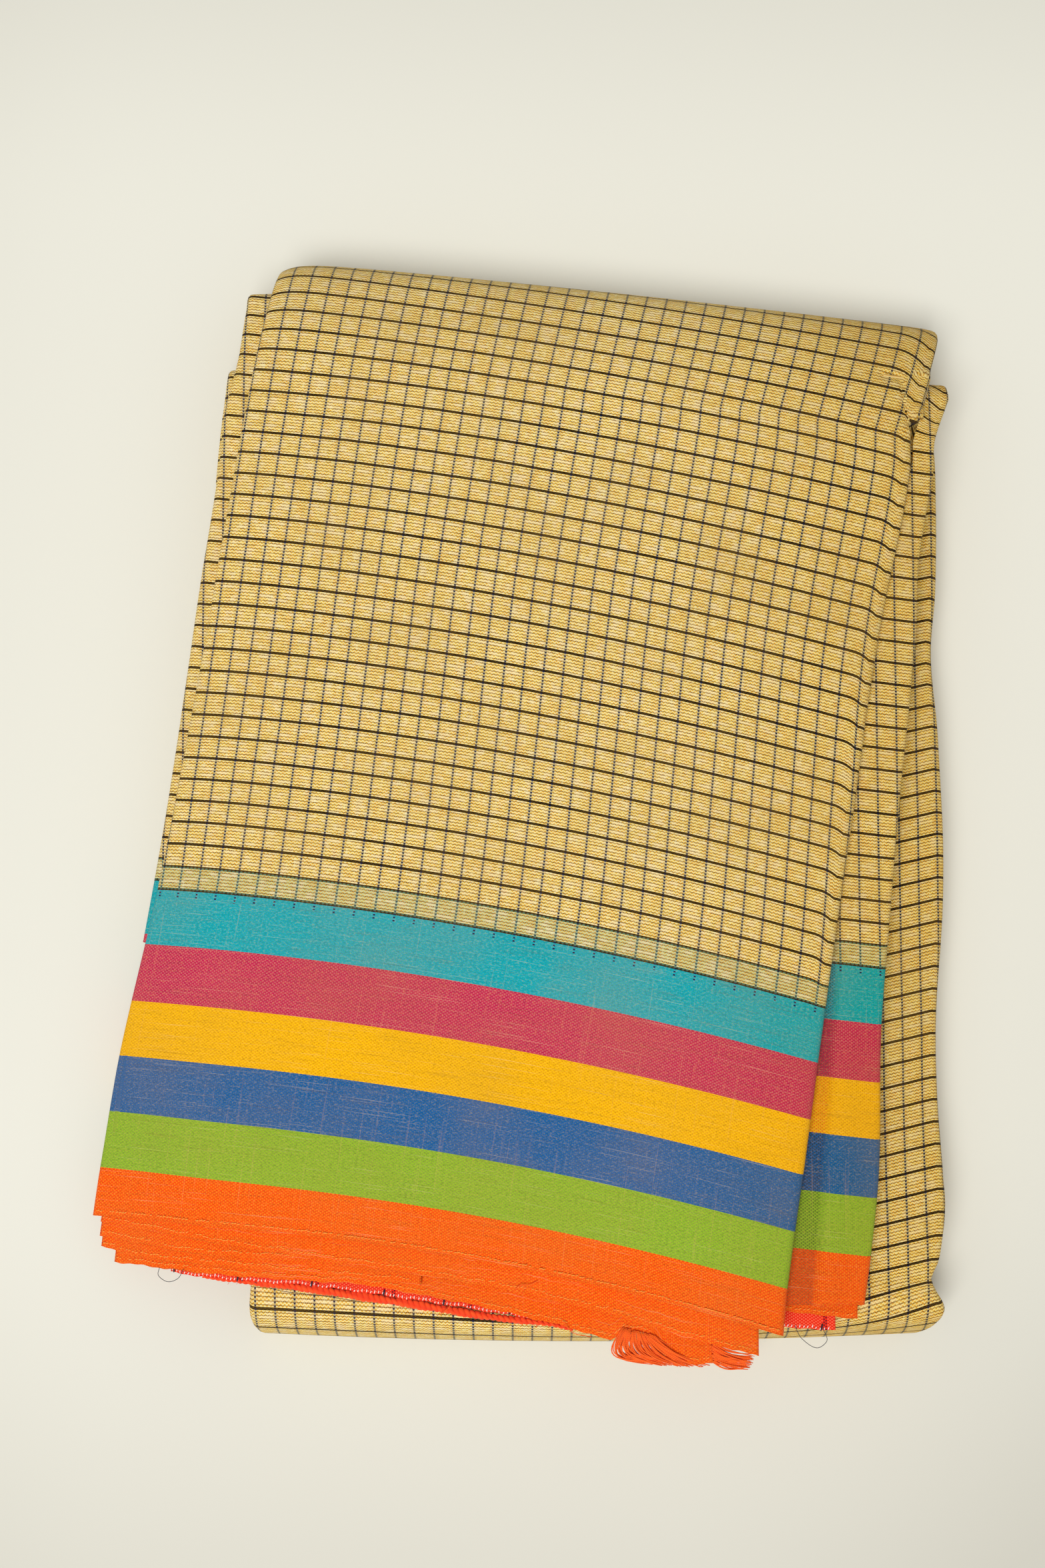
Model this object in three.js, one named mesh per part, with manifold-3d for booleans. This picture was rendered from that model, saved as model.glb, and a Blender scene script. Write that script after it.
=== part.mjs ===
// A handloom cotton saree, folded for the shelf and lying flat, in millimetres, +Z up.
//
// The strip of folded cloth is bent over at the back and again at the front, so the pack is an
// upper bundle turned a few degrees across a lower one. Its outermost ply is followed stretch by
// stretch: up from the table, over the back and along the top to the selvedge (top_stretch), and
// flat along the table, round the front roll and back under the upper bundle (lower_stretch).
// The plies between them are one rounded solid that makes the same bend, ridged at its edges.

import * as THREE from 'three';
import { mergeVertices } from 'three/addons/utils/BufferGeometryUtils.js';
import Module from 'manifold-3d';

const wasm = await Module();
wasm.setup();

// ---------------------------------------------------------------- driving sizes

const WALL = 1.2; // outer ply of a stretch
const LEAF = 1.0; // one selvedge layer
const GAP = 0.35; // air between neighbouring pieces
const LEAF_PITCH = 1.55; // selvedge layer to selvedge layer
const TOP_HEIGHT = 37.4;
// The top drops this much where the selvedges lie loose.
const FRONT_FALL = { drop: 0.7, startY: -110, length: 40 };
const LOWER_HEIGHT = 21;
const ROLL_HEIGHT = 23.8;
const RISE_TO_ROLL = { startY: -95, length: 50 };
const RIGHT_SLOPE = { drop: 2.2, startX: 108, length: 20 }; // the lower bundle thins to the right
const PACK_Y = { front: -150, back: 150 }; // where both bundles have straight sides
const ROLL_LINE = { y: -160.2, bow: 2.6 }; // where the lower bundle starts to roll round at the front
const UPPER_THICKNESS = 16.5;
const TABLE_CLEARANCE = 0.4;
const ORIGIN = new THREE.Vector3(0.15, -1.4, 0); // middle of the pack's outline

// Course of the top stretch, from its selvedge (along = 0) to where it starts to bend over the
// back. Its rows bow backwards between the two side folds.
const TOP_COURSE = [
  { along: 0, leftX: -131.5, leftY: -128.8, rightX: 77.0, rightY: -162.0, bow: 7.8 },
  { along: 14, leftX: -129.3, leftY: -114.2, rightX: 78.4, rightY: -148.4, bow: 6.4 },
  { along: 48.4, leftX: -123.6, leftY: -80.6, rightX: 83.3, rightY: -115.5, bow: 5.8 },
  { along: 100, leftX: -111.8, leftY: -29.8, rightX: 90.6, rightY: -65.8, bow: 5.3 },
  { along: 153, leftX: -101.7, leftY: 21.5, rightX: 98.7, rightY: -13.0, bow: 5.0 },
  { along: 206, leftX: -92.2, leftY: 75.5, rightX: 107.4, rightY: 40.5, bow: 4.6 },
  { along: 259, leftX: -83.0, leftY: 129.0, rightX: 118.0, rightY: 94.5, bow: 4.2 },
  { along: 275, leftX: -79.6, leftY: 144.6, rightX: 119.0, rightY: 110.5, bow: 4.0 },
];
const BEND_START = { left: 257, right: 272 };

// The furthest line of the back fold.
const BACK_LINE = { leftX: -76.7, leftY: 169.0, rightX: 131.4, rightY: 146.5, bow: 1.0 };

// How the back fold leans: slope of the cloth, in degrees, after each distance along it.
const BACK_TURN = [
  { past: 0, slope: 3 },
  { past: 12, slope: 12 },
  { past: 24, slope: 24 },
  { past: 31, slope: 36 },
  { past: 38, slope: 62 },
  { past: 45, slope: 84 },
  { past: 53, slope: 98 },
  { past: 61, slope: 130 },
  { past: 67, slope: 168 },
  { past: 70, slope: 180 },
];
const BACK_SEAM = 52; // top_stretch hands over to lower_stretch this far round the fold

// The front roll, measured the same way from the table upwards.
const ROLL_TURN = [
  { past: 0, slope: 0 },
  { past: 3, slope: 30 },
  { past: 8, slope: 90 },
  { past: 13, slope: 106 },
  { past: 19.5, slope: 117 },
  { past: 26, slope: 142 },
  { past: 32, slope: 168 },
  { past: 36, slope: 180 },
];

// The lower bundle's side edges.
const LOWER_EDGES = [
  { y: -167, left: -80.6, right: 120.5 },
  { y: -162, left: -82.0, right: 125.4 },
  { y: -157, left: -82.3, right: 127.2 },
  { y: -148, left: -81.6, right: 123.4 },
  { y: -140, left: -81.5, right: 125.4 },
  { y: -124, left: -81.4, right: 127.7 },
  { y: -74, left: -80.8, right: 126.8 },
  { y: -30, left: -80.0, right: 129.8 },
  { y: 18, left: -79.0, right: 129.0 },
  { y: 44, left: -78.5, right: 127.4 },
  { y: 64, left: -78.3, right: 129.2 },
  { y: 85, left: -78.0, right: 129.8 },
  { y: 150, left: -77.0, right: 129.6 },
];

// How far the upper bundle sinks where it hangs past the lower bundle's left edge.
const SAG = [
  { overhang: -24, drop: 0 },
  { overhang: 0, drop: 1.2 },
  { overhang: 13, drop: 3.2 },
  { overhang: 22, drop: 6.4 },
  { overhang: 32, drop: 11.8 },
  { overhang: 50, drop: 21.2 },
];

// The second fold out on the right, under the top stretch: its right edge and the trough in it.
const RIGHT_FOLD = [
  { y: -153.4, edge: 102.0 },
  { y: -140, edge: 104.0 },
  { y: -114, edge: 106.8 },
  { y: -73, edge: 107.8 },
  { y: -45, edge: 110.2 },
  { y: -6, edge: 113.9 },
  { y: 47, edge: 119.8 },
  { y: 69, edge: 120.8 },
  { y: 96, edge: 125.2 },
  { y: 108, edge: 126.0 },
  { y: 121, edge: 130.6 },
];

// The folds that show past the top stretch on the left.
const LEFT_FOLD_2 = [
  { y: -46, edge: -116.0 },
  { y: -14, edge: -110.6 },
  { y: 12, edge: -106.8 },
  { y: 40, edge: -102.9 },
  { y: 67, edge: -99.2 },
  { y: 87, edge: -96.0 },
  { y: 104, edge: -93.9 },
  { y: 116, edge: -93.2 },
  { y: 134, edge: -88.4 },
  { y: 150, edge: -86.4 },
];
const LEFT_FOLD_3 = [
  { y: 96, edge: -95.4 },
  { y: 112, edge: -94.4 },
  { y: 122, edge: -93.0 },
  { y: 133, edge: -92.2 },
];

// Front edges of the layers under the top stretch's selvedge, from the left. level counts down.
const SELVEDGE_LAYERS = {
  selvedge_layer_2: {
    level: 0,
    colour: '#f4590c',
    edge: [
      { x: -128.4, y: -130.6 }, { x: -108, y: -133.0 }, { x: -72, y: -138.1 }, { x: -34, y: -143.6 },
      { x: -1, y: -149.3 }, { x: 26, y: -155.7 }, { x: 46, y: -162.0 }, { x: 69.6, y: -168.0 },
    ],
  },
  selvedge_layer_3: {
    level: 1,
    colour: '#ee520a',
    edge: [
      { x: -129.0, y: -135.2 }, { x: -116, y: -136.6 }, { x: -100, y: -138.8 }, { x: -72, y: -140.0 },
      { x: -40, y: -142.0 },
    ],
  },
  selvedge_layer_4: {
    level: 2,
    colour: '#f0560b',
    edge: [
      { x: -128.8, y: -138.6 }, { x: -116, y: -141.2 }, { x: -86, y: -142.6 }, { x: -52, y: -145.6 },
      { x: -30, y: -147.5 },
    ],
  },
  selvedge_layer_5: {
    level: 3,
    colour: '#f2580c',
    edge: [
      { x: -124.6, y: -143.2 }, { x: -110, y: -143.9 }, { x: -83, y: -145.6 }, { x: -48, y: -147.6 },
      { x: -16, y: -153.4 }, { x: 13, y: -160.1 }, { x: 26, y: -164.2 }, { x: 30, y: -161.2 },
      { x: 38, y: -162.4 }, { x: 42, y: -169.6 }, { x: 50, y: -171.0 }, { x: 57, y: -170.6 },
    ],
  },
  far_selvedge_1: {
    level: 4,
    colour: '#d9332a',
    edge: [
      { x: -106, y: -142.9 }, { x: -86, y: -144.8 }, { x: -48, y: -149.0 }, { x: -10, y: -154.8 },
      { x: 14, y: -158.3 }, { x: 60, y: -160.0 },
    ],
  },
  far_selvedge_2: {
    level: 5,
    colour: '#cf2f2b',
    edge: [
      { x: -100, y: -142.0 }, { x: -48, y: -148.0 }, { x: 14, y: -157.0 }, { x: 60, y: -158.4 },
    ],
  },
};
const LAYER_DEPTH = 22; // how far each layer reaches in under the top stretch
const LAYER_LEAN = 4.2; // and how far its left end leans right on the way, like the top's edge

// The rolled edge along the far selvedge, a cord of twisted cloth.
const ROLLED_EDGE = [
  { x: -92, y: -146.8 },
  { x: -64, y: -149.4 },
  { x: -36, y: -153.0 },
  { x: -10, y: -157.2 },
  { x: 14, y: -160.6 },
];
const ROLLED_RADIUS = 1.2;

// ---------------------------------------------------------------- small helpers

const clamp = (value, low, high) => Math.min(Math.max(value, low), high);
const mix = (a, b, share) => a + (b - a) * share;
const ease = (share) => {
  const s = clamp(share, 0, 1);
  return s * s * (3 - 2 * s);
};
const steps = (count) => Array.from({ length: count + 1 }, (_, i) => i / count);

/** Every column of a table at one place, on a smooth curve through its rows. */
function sample(table, key, at) {
  const last = table.length - 1;
  let i = 0;
  while (i < last - 1 && at > table[i + 1][key]) i += 1;
  const [a, b] = [table[i], table[i + 1]];
  const before = table[Math.max(i - 1, 0)];
  const after = table[Math.min(i + 2, last)];
  const span = b[key] - a[key];
  const u = clamp((at - a[key]) / span, 0, 1);
  const row = {};
  for (const column of Object.keys(a)) {
    const slopeA = ((b[column] - before[column]) / (b[key] - before[key])) * span;
    const slopeB = ((after[column] - a[column]) / (after[key] - a[key])) * span;
    const rise = b[column] - a[column];
    const square = 3 * rise - 2 * slopeA - slopeB;
    const cube = slopeA + slopeB - 2 * rise;
    row[column] = a[column] + u * (slopeA + u * (square + u * cube));
  }
  return row;
}

/** Follows a table of slopes in short steps; gives how far out and down it has gone. */
function followTurn(table) {
  const STEP = 0.5;
  const end = table[table.length - 1].past;
  const track = [{ past: 0, out: 0, down: 0 }];
  for (let past = STEP; past <= end + 1e-6; past += STEP) {
    const angle = THREE.MathUtils.degToRad(sample(table, 'past', past - STEP / 2).slope);
    const from = track[track.length - 1];
    track.push({ past, out: from.out + STEP * Math.cos(angle), down: from.down + STEP * Math.sin(angle) });
  }
  return track;
}

const backTrack = followTurn(BACK_TURN);
const backReach = Math.max(...backTrack.map((point) => point.out));
const backDrop = backTrack[backTrack.length - 1].down;
const backEnd = BACK_TURN[BACK_TURN.length - 1].past;
const rollTrack = followTurn(ROLL_TURN);
const rollDrop = rollTrack[rollTrack.length - 1].down;
const rollEnd = ROLL_TURN[ROLL_TURN.length - 1].past;

// ---------------------------------------------------------------- the two bundles

const lowerEdges = (y) => sample(LOWER_EDGES, 'y', y);

/** Height of the lower bundle's top ply. */
function lowerTop(x, y) {
  const towardsRoll = ease((RISE_TO_ROLL.startY - y) / RISE_TO_ROLL.length);
  const rightSlope = RIGHT_SLOPE.drop * ease((x - RIGHT_SLOPE.startX) / RIGHT_SLOPE.length);
  return mix(LOWER_HEIGHT, ROLL_HEIGHT, towardsRoll) - rightSlope * (1 - towardsRoll);
}

/** Height of the pack's top ply. */
function upperTop(x, y) {
  const overhang = lowerEdges(clamp(y, PACK_Y.front, PACK_Y.back)).left - x;
  const fall = FRONT_FALL.drop * ease((FRONT_FALL.startY - y) / FRONT_FALL.length);
  return TOP_HEIGHT - fall - sample(SAG, 'overhang', overhang).drop;
}

/** Plan of the top stretch: share across, and distance along from its selvedge. */
function topPlan(across, along) {
  const row = sample(TOP_COURSE, 'along', along);
  const bow = row.bow * 4 * across * (1 - across);
  return { x: mix(row.leftX, row.rightX, across), y: mix(row.leftY, row.rightY, across) + bow };
}

const bendStart = (across) => mix(BEND_START.left, BEND_START.right, across);

/** A point of the back fold, past the start of the bend. */
function backPoint(across, past) {
  const from = topPlan(across, bendStart(across));
  const bow = BACK_LINE.bow * 4 * across * (1 - across);
  const toX = mix(BACK_LINE.leftX, BACK_LINE.rightX, across);
  const toY = mix(BACK_LINE.leftY, BACK_LINE.rightY, across) + bow;
  const { out, down } = sample(backTrack, 'past', past);
  const share = out / backReach;
  const height = upperTop(from.x, from.y) * (1 - down / backDrop);
  return new THREE.Vector3(mix(from.x, toX, share), mix(from.y, toY, share), height);
}

/** The top stretch's outer face, over the back fold too. */
function topFace(across, along) {
  const start = bendStart(across);
  if (along > start) return backPoint(across, along - start);
  const { x, y } = topPlan(across, along);
  return new THREE.Vector3(x, y, upperTop(x, y));
}

const risingTrack = backTrack.slice(0, backTrack.findIndex((point) => point.out === backReach) + 1);

/** Share across the top stretch at a place on the plan. */
function shareAcross(x, y) {
  const left = topEdge(0, y);
  return clamp((x - left) / (topEdge(1, y) - left), 0, 1);
}

/** The x of the top stretch's left (across = 0) or right (across = 1) edge, where y is known. */
function topEdge(across, y) {
  const HALVINGS = 14;
  const bend = topPlan(across, bendStart(across));
  if (y > bend.y) {
    const toX = mix(BACK_LINE.leftX, BACK_LINE.rightX, across);
    const toY = mix(BACK_LINE.leftY, BACK_LINE.rightY, across);
    return mix(bend.x, toX, (y - bend.y) / (toY - bend.y));
  }
  let [low, high] = [0, bendStart(across)];
  for (let i = 0; i < HALVINGS; i += 1) {
    const middle = (low + high) / 2;
    if (topPlan(across, middle).y < y) low = middle;
    else high = middle;
  }
  return topPlan(across, (low + high) / 2).x;
}

/** Height of the top stretch's face above a place on the plan, its bend over the back included. */
function upperFace(x, y) {
  const across = shareAcross(x, y);
  const start = topPlan(across, bendStart(across)).y;
  if (y <= start) return upperTop(x, y);
  const end = backPoint(across, risingTrack[risingTrack.length - 1].past).y;
  const out = backReach * clamp((y - start) / (end - start), 0, 1);
  return upperTop(x, start) * (1 - sample(risingTrack, 'out', out).down / backDrop);
}

const BACK_MERGE = 0.12; // share of the lower bundle over which it meets the back fold's outline

/** The roll's line bows forwards in the middle. */
const rollLine = (across) => ROLL_LINE.y - ROLL_LINE.bow * 4 * across * (1 - across);

/** Plan of the lower bundle: share across, and share of the way from the back to the roll. */
function lowerPlan(across, share) {
  const back = backPoint(across, backEnd);
  const y = mix(back.y, rollLine(across), share);
  const { left, right } = lowerEdges(y);
  return { x: mix(back.x, mix(left, right, across), ease(share / BACK_MERGE)), y };
}

/** A point of the front roll, past its start on the table. */
function rollPoint(across, past) {
  const { out, down } = sample(rollTrack, 'past', past);
  const y = rollLine(across) - out;
  const { left, right } = lowerEdges(y);
  const x = mix(left, right, across);
  return new THREE.Vector3(x, y, (down / rollDrop) * lowerTop(x, ROLL_LINE.y));
}

// ---------------------------------------------------------------- meshes

/** A closed mesh from numbered points and triangles. */
function closedMesh(name, colour, points, triangles) {
  const geometry = new THREE.BufferGeometry();
  const places = points.flatMap((p) => [p.x, p.y, p.z]);
  geometry.setAttribute('position', new THREE.Float32BufferAttribute(places, 3));
  geometry.setIndex(triangles.flat());
  geometry.computeVertexNormals();
  const material = new THREE.MeshStandardMaterial({ color: colour, roughness: 0.9, metalness: 0 });
  const mesh = new THREE.Mesh(geometry, material);
  mesh.name = name;
  return mesh;
}

/** Outward normals of a grid of points, rows running left to right across the cloth. */
function gridNormals(grid) {
  const lastRow = grid.length - 1;
  const lastColumn = grid[0].length - 1;
  return grid.map((row, r) => row.map((_, c) => {
    const across = row[Math.min(c + 1, lastColumn)].clone().sub(row[Math.max(c - 1, 0)]);
    const along = grid[Math.min(r + 1, lastRow)][c].clone().sub(grid[Math.max(r - 1, 0)][c]);
    return across.cross(along).normalize();
  }));
}

/** A wall of cloth: the grid is its outer face, and the inner face lies one thickness inside. */
function wall(name, colour, grid, thickness = WALL) {
  const rows = grid.length;
  const columns = grid[0].length;
  const normals = gridNormals(grid);
  const outer = grid.flat();
  const inwards = (p, r, c) => p.clone().addScaledVector(normals[r][c], -thickness);
  const inner = grid.flatMap((row, r) => row.map((p, c) => inwards(p, r, c)));
  const at = (r, c) => r * columns + c;
  const under = (r, c) => rows * columns + at(r, c);
  const triangles = [];
  const quad = (a, b, c, d) => triangles.push([a, b, c], [a, c, d]);
  for (let r = 0; r < rows - 1; r += 1) {
    for (let c = 0; c < columns - 1; c += 1) {
      quad(at(r, c), at(r, c + 1), at(r + 1, c + 1), at(r + 1, c));
      quad(under(r, c), under(r + 1, c), under(r + 1, c + 1), under(r, c + 1));
    }
    quad(at(r, 0), at(r + 1, 0), under(r + 1, 0), under(r, 0));
    quad(at(r, columns - 1), under(r, columns - 1), under(r + 1, columns - 1), at(r + 1, columns - 1));
  }
  for (let c = 0; c < columns - 1; c += 1) {
    quad(at(0, c), under(0, c), under(0, c + 1), at(0, c + 1));
    quad(at(rows - 1, c), at(rows - 1, c + 1), under(rows - 1, c + 1), under(rows - 1, c));
  }
  return closedMesh(name, colour, [...outer, ...inner], triangles);
}

/**
 * One row of a stretch with its side folds: the face between them, and at each side the cloth
 * turned under round a radius and tucked in. face(across) gives points of this row, and
 * lift(across) the outward normal there.
 */
function foldedRow(face, lift, width, folds, columns) {
  const turn = (edge, inwards, radius, tuck, normal) => {
    const out = inwards.clone().negate();
    const centre = edge.clone().addScaledVector(normal, -radius);
    const ARC_STEPS = 4;
    const arc = steps(ARC_STEPS).slice(1).map((share) => {
      const angle = Math.PI * share;
      const sideways = centre.clone().addScaledVector(out, radius * Math.sin(angle));
      return sideways.addScaledVector(normal, radius * Math.cos(angle));
    });
    return [...arc, edge.clone().addScaledVector(normal, -2 * radius).addScaledVector(inwards, tuck)];
  };
  const side = (at, step, fold) => {
    if (!fold) return [];
    const inwards = new THREE.Vector3().subVectors(face(at + step), face(at)).normalize();
    return turn(face(at), inwards, fold.radius, fold.tuck, lift(at));
  };
  const from = folds.left ? folds.left.radius / width : 0;
  const to = folds.right ? 1 - folds.right.radius / width : 1;
  const STEP = 0.01;
  return [
    ...side(from, STEP, folds.left).reverse(),
    ...columns.map((share) => face(mix(from, to, share))),
    ...side(to, -STEP, folds.right),
  ];
}

/** A whole stretch: face(across, place) over a list of places, each row with its side folds. */
function stretchGrid(face, places, widthAt, folds, columns) {
  const PLACE_STEP = 0.05;
  return places.map((place) => {
    const rowFace = (across) => face(across, place);
    const lift = (across) => {
      const STEP = 0.004;
      const dx = face(across + STEP, place).clone().sub(face(across - STEP, place));
      const dy = face(across, place + PLACE_STEP).clone().sub(face(across, place - PLACE_STEP));
      return dx.cross(dy).normalize();
    };
    return foldedRow(rowFace, lift, widthAt(place), folds, columns);
  });
}

// ---------------------------------------------------------------- the stretches that show

const TOP_WIDTH = 200;
const LOWER_WIDTH = 210;
const TOP_FOLDS = { left: { radius: 1.4, tuck: 1.0 }, right: { radius: 2.4, tuck: 2.4 } };
const LOWER_FOLDS = { left: { radius: 2.2, tuck: 2.0 }, right: { radius: 2.2, tuck: 2.0 } };
const BODY = '#dcc48c';
// Columns stand closer where the top stretch sags to the left.
const TOP_COLUMNS = [
  0, 0.025, 0.05, 0.08, 0.11, 0.14, 0.18, 0.22, 0.27, 0.34, 0.43, 0.54, 0.66, 0.78, 0.9, 1,
];

/** The visible top: selvedge at the front, over the pack, and down behind. */
function topStretch() {
  const flat = steps(13).map((share) => ({ share, past: 0 }));
  const bent = [8, 16, 23, 29, 34, 38, 42, 47, BACK_SEAM].map((past) => ({ share: 1, past }));
  const places = [...flat, ...bent];
  const face = (across, place) => {
    const i = clamp(Math.floor(place), 0, places.length - 2);
    const past = mix(places[i].past, places[i + 1].past, place - i);
    const share = mix(places[i].share, places[i + 1].share, place - i);
    return topFace(across, share * bendStart(across) + past);
  };
  const grid = stretchGrid(face, places.map((_, i) => i), () => TOP_WIDTH, TOP_FOLDS, TOP_COLUMNS);
  return wall('top_stretch', BODY, grid);
}

// Where the plies of the lower bundle have a row, as shares of the way from the back to the roll.
const LOWER_ROWS = [0.06, 0.17, 0.3, 0.42, 0.54, 0.66, 0.77, 0.86, 0.93];

/** The same ply below: up behind, flat on the table, round the front roll, and back on top. */
function lowerStretch() {
  const rising = [BACK_SEAM + 3.5 * GAP, 56.5, 60, 64, 67, backEnd].map((past) => (t) => backPoint(t, past));
  const onTable = LOWER_ROWS.map((share) => (t) => {
    const { x, y } = lowerPlan(t, share);
    return new THREE.Vector3(x, y, 0);
  });
  const roll = [0, 3, 6, 9, 13, 18, 23, 28, 32, rollEnd].map((past) => (t) => rollPoint(t, past));
  const onTop = [...LOWER_ROWS].reverse().map((share) => (t) => {
    const { x, y } = lowerPlan(t, share);
    return new THREE.Vector3(x, y, lowerTop(x, y));
  });
  const lines = [...rising, ...onTable, ...roll, ...onTop];
  const face = (across, place) => {
    const i = clamp(Math.floor(place), 0, lines.length - 2);
    return lines[i](across).lerp(lines[i + 1](across), place - i);
  };
  const grid = stretchGrid(face, lines.map((_, i) => i), () => LOWER_WIDTH, LOWER_FOLDS, steps(8));
  return wall('lower_stretch', BODY, grid);
}

const RIGHT_FOLD_DROP = 5.3; // below the top stretch, under its own side fold
const RIGHT_FOLD_RADIUS = 1.5;
const RIGHT_FOLD_REACH = 6; // how far it runs in under the top stretch
const RIGHT_FOLD_LEAVES = { startY: 84, length: 18, clear: 2 }; // where it stops running in
const RIGHT_FOLD_SLOPE = 0.7;
const TROUGH = { depth: 1.1, startY: -20, length: 40, share: 0.3, width: 0.16 };
const LEFT_FOLD_DROP = 3.9;
const LEFT_FOLD_RADIUS = 1.8;
const LEFT_FOLD_REACH = 2.3;
const STRIP_TUCK = 1.5;
const UNDER_X = 80; // the right-hand layers follow the top stretch's height here

/** Height of the second fold on the right, with its long trough in the front half. */
function rightFoldTop(x, y) {
  const inner = topEdge(1, y);
  const outer = sample(RIGHT_FOLD, 'y', y).edge;
  const share = (x - inner) / (outer - inner);
  const depth = TROUGH.depth * ease((TROUGH.startY - y) / TROUGH.length);
  const trough = depth * Math.exp(-(((share - TROUGH.share) / TROUGH.width) ** 2));
  return upperFace(inner - 1, y) - RIGHT_FOLD_DROP - RIGHT_FOLD_SLOPE * ease(share) - trough;
}

/** Share of the second fold's run in under the top stretch that is left at a place. */
const runsUnder = (y) => 1 - ease((y - RIGHT_FOLD_LEAVES.startY) / RIGHT_FOLD_LEAVES.length);

/** Strip of folded cloth whose outer side is a fold; its back end turns down. */
function sideStrip(name, { rows, inner, edge, height, radius, tuck, side, columns, endTurn }) {
  const yEnd = rows[rows.length - 1];
  const turning = steps(4).slice(1).map((turn) => ({ y: yEnd, turn }));
  const places = [...rows.map((y) => ({ y, turn: 0 })), ...turning];
  const face = (across, place) => {
    const i = clamp(Math.floor(place), 0, places.length - 2);
    const y = mix(places[i].y, places[i + 1].y, place - i);
    const turn = mix(places[i].turn, places[i + 1].turn, place - i);
    const share = side === 'right' ? across : 1 - across;
    const angle = (turn * Math.PI) / 2;
    const x = mix(inner(y), edge(y), share);
    const fall = endTurn * (1 - Math.cos(angle));
    return new THREE.Vector3(x, y + endTurn * Math.sin(angle), height(x, y) - fall);
  };
  const fold = { radius, tuck };
  const folds = side === 'right' ? { right: fold } : { left: fold };
  const widthAt = (place) => Math.abs(edge(places[Math.round(place)].y) - inner(places[Math.round(place)].y));
  return wall(name, BODY, stretchGrid(face, places.map((_, i) => i), widthAt, folds, columns), WALL);
}

function secondRightFold() {
  return sideStrip('second_right_fold', {
    rows: [-153.4, -142, -128, -112, -94, -72, -46, -18, 10, 38, 62, 82, 98, 108, 120],
    inner: (y) => topEdge(1, y) - mix(-RIGHT_FOLD_LEAVES.clear, RIGHT_FOLD_REACH, runsUnder(y)),
    edge: (y) => sample(RIGHT_FOLD, 'y', y).edge,
    height: rightFoldTop,
    radius: RIGHT_FOLD_RADIUS,
    tuck: STRIP_TUCK,
    side: 'right',
    columns: steps(7),
    endTurn: 7,
  });
}

function leftFold(name, { table, drop, rows, reach, endTurn }) {
  const edge = (y) => sample(table, 'y', y).edge;
  return sideStrip(name, {
    rows,
    inner: (y) => topEdge(0, y) + reach,
    edge,
    height: (x, y) => upperFace(x, y) - drop,
    radius: LEFT_FOLD_RADIUS,
    tuck: STRIP_TUCK,
    side: 'left',
    columns: steps(4),
    endTurn,
  });
}

// ---------------------------------------------------------------- the hidden layers

// Side profiles of the hidden layers, from the outer ply inwards: inset from the bundle's edge,
// then a clear drop below the outer line, a clear rise above the inner one, and the share of
// what is left between them. beyond moves a point out under the second fold on the right.
const UPPER_LEFT_SIDE = [
  { inset: 4.8, drop: 6.6, rise: 0, part: 0, beyond: 0 },
  { inset: 1.0, drop: 6.8, rise: 0, part: 0, beyond: 0 },
  { inset: 2.4, drop: 6.8, rise: 0, part: 0.25, beyond: 0 },
  { inset: 0.8, drop: 6.8, rise: 0, part: 0.5, beyond: 0 },
  { inset: 2.4, drop: 6.8, rise: 0, part: 0.75, beyond: 0 },
  { inset: 1.4, drop: 6.8, rise: 0, part: 1, beyond: 0 },
];
const UPPER_RIGHT_SIDE = [
  { inset: 6.6, drop: 6.2, rise: 0, part: 0, beyond: 0 },
  { inset: 4.2, drop: 7.3, rise: 0, part: 0, beyond: 1 },
  { inset: 3.9, drop: 8.2, rise: 0, part: 0, beyond: 1 },
  { inset: 1.6, drop: 8.5, rise: 0, part: 0, beyond: 1 },
  { inset: 2.9, drop: 8.5, rise: 0, part: 0.5, beyond: 1 },
  { inset: 1.8, drop: 8.5, rise: 0, part: 1, beyond: 1 },
];
const LOWER_SIDE = [
  { inset: 5.2, drop: 3.8, rise: 3.8, part: 0, beyond: 0 },
  { inset: 1.6, drop: 4.2, rise: 4.2, part: 0, beyond: 0 },
  { inset: 2.9, drop: 4.2, rise: 4.2, part: 0.33, beyond: 0 },
  { inset: 1.5, drop: 4.2, rise: 4.2, part: 0.66, beyond: 0 },
  { inset: 2.2, drop: 4.2, rise: 4.2, part: 1, beyond: 0 },
  { inset: 5.2, drop: 3.8, rise: 3.8, part: 1, beyond: 0 },
];
const OUTER_CLEARANCE = WALL + GAP + 0.4;
const BEND_INSET = -2.5; // room for the second fold's end beside the bend
const ROLL_ROOM = 7; // the layers end this far behind the roll's line
const LAYERS_IN_ROLL = { low: 2.6, high: 18 };

/** The point this far inside the outer face. */
function insideOf(face, across, place, depth) {
  const dx = new THREE.Vector3().subVectors(face(across + 0.004, place), face(across - 0.004, place));
  const dy = new THREE.Vector3().subVectors(face(across, place + 0.3), face(across, place - 0.3));
  return face(across, place).addScaledVector(dx.cross(dy).normalize(), -depth);
}

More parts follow.
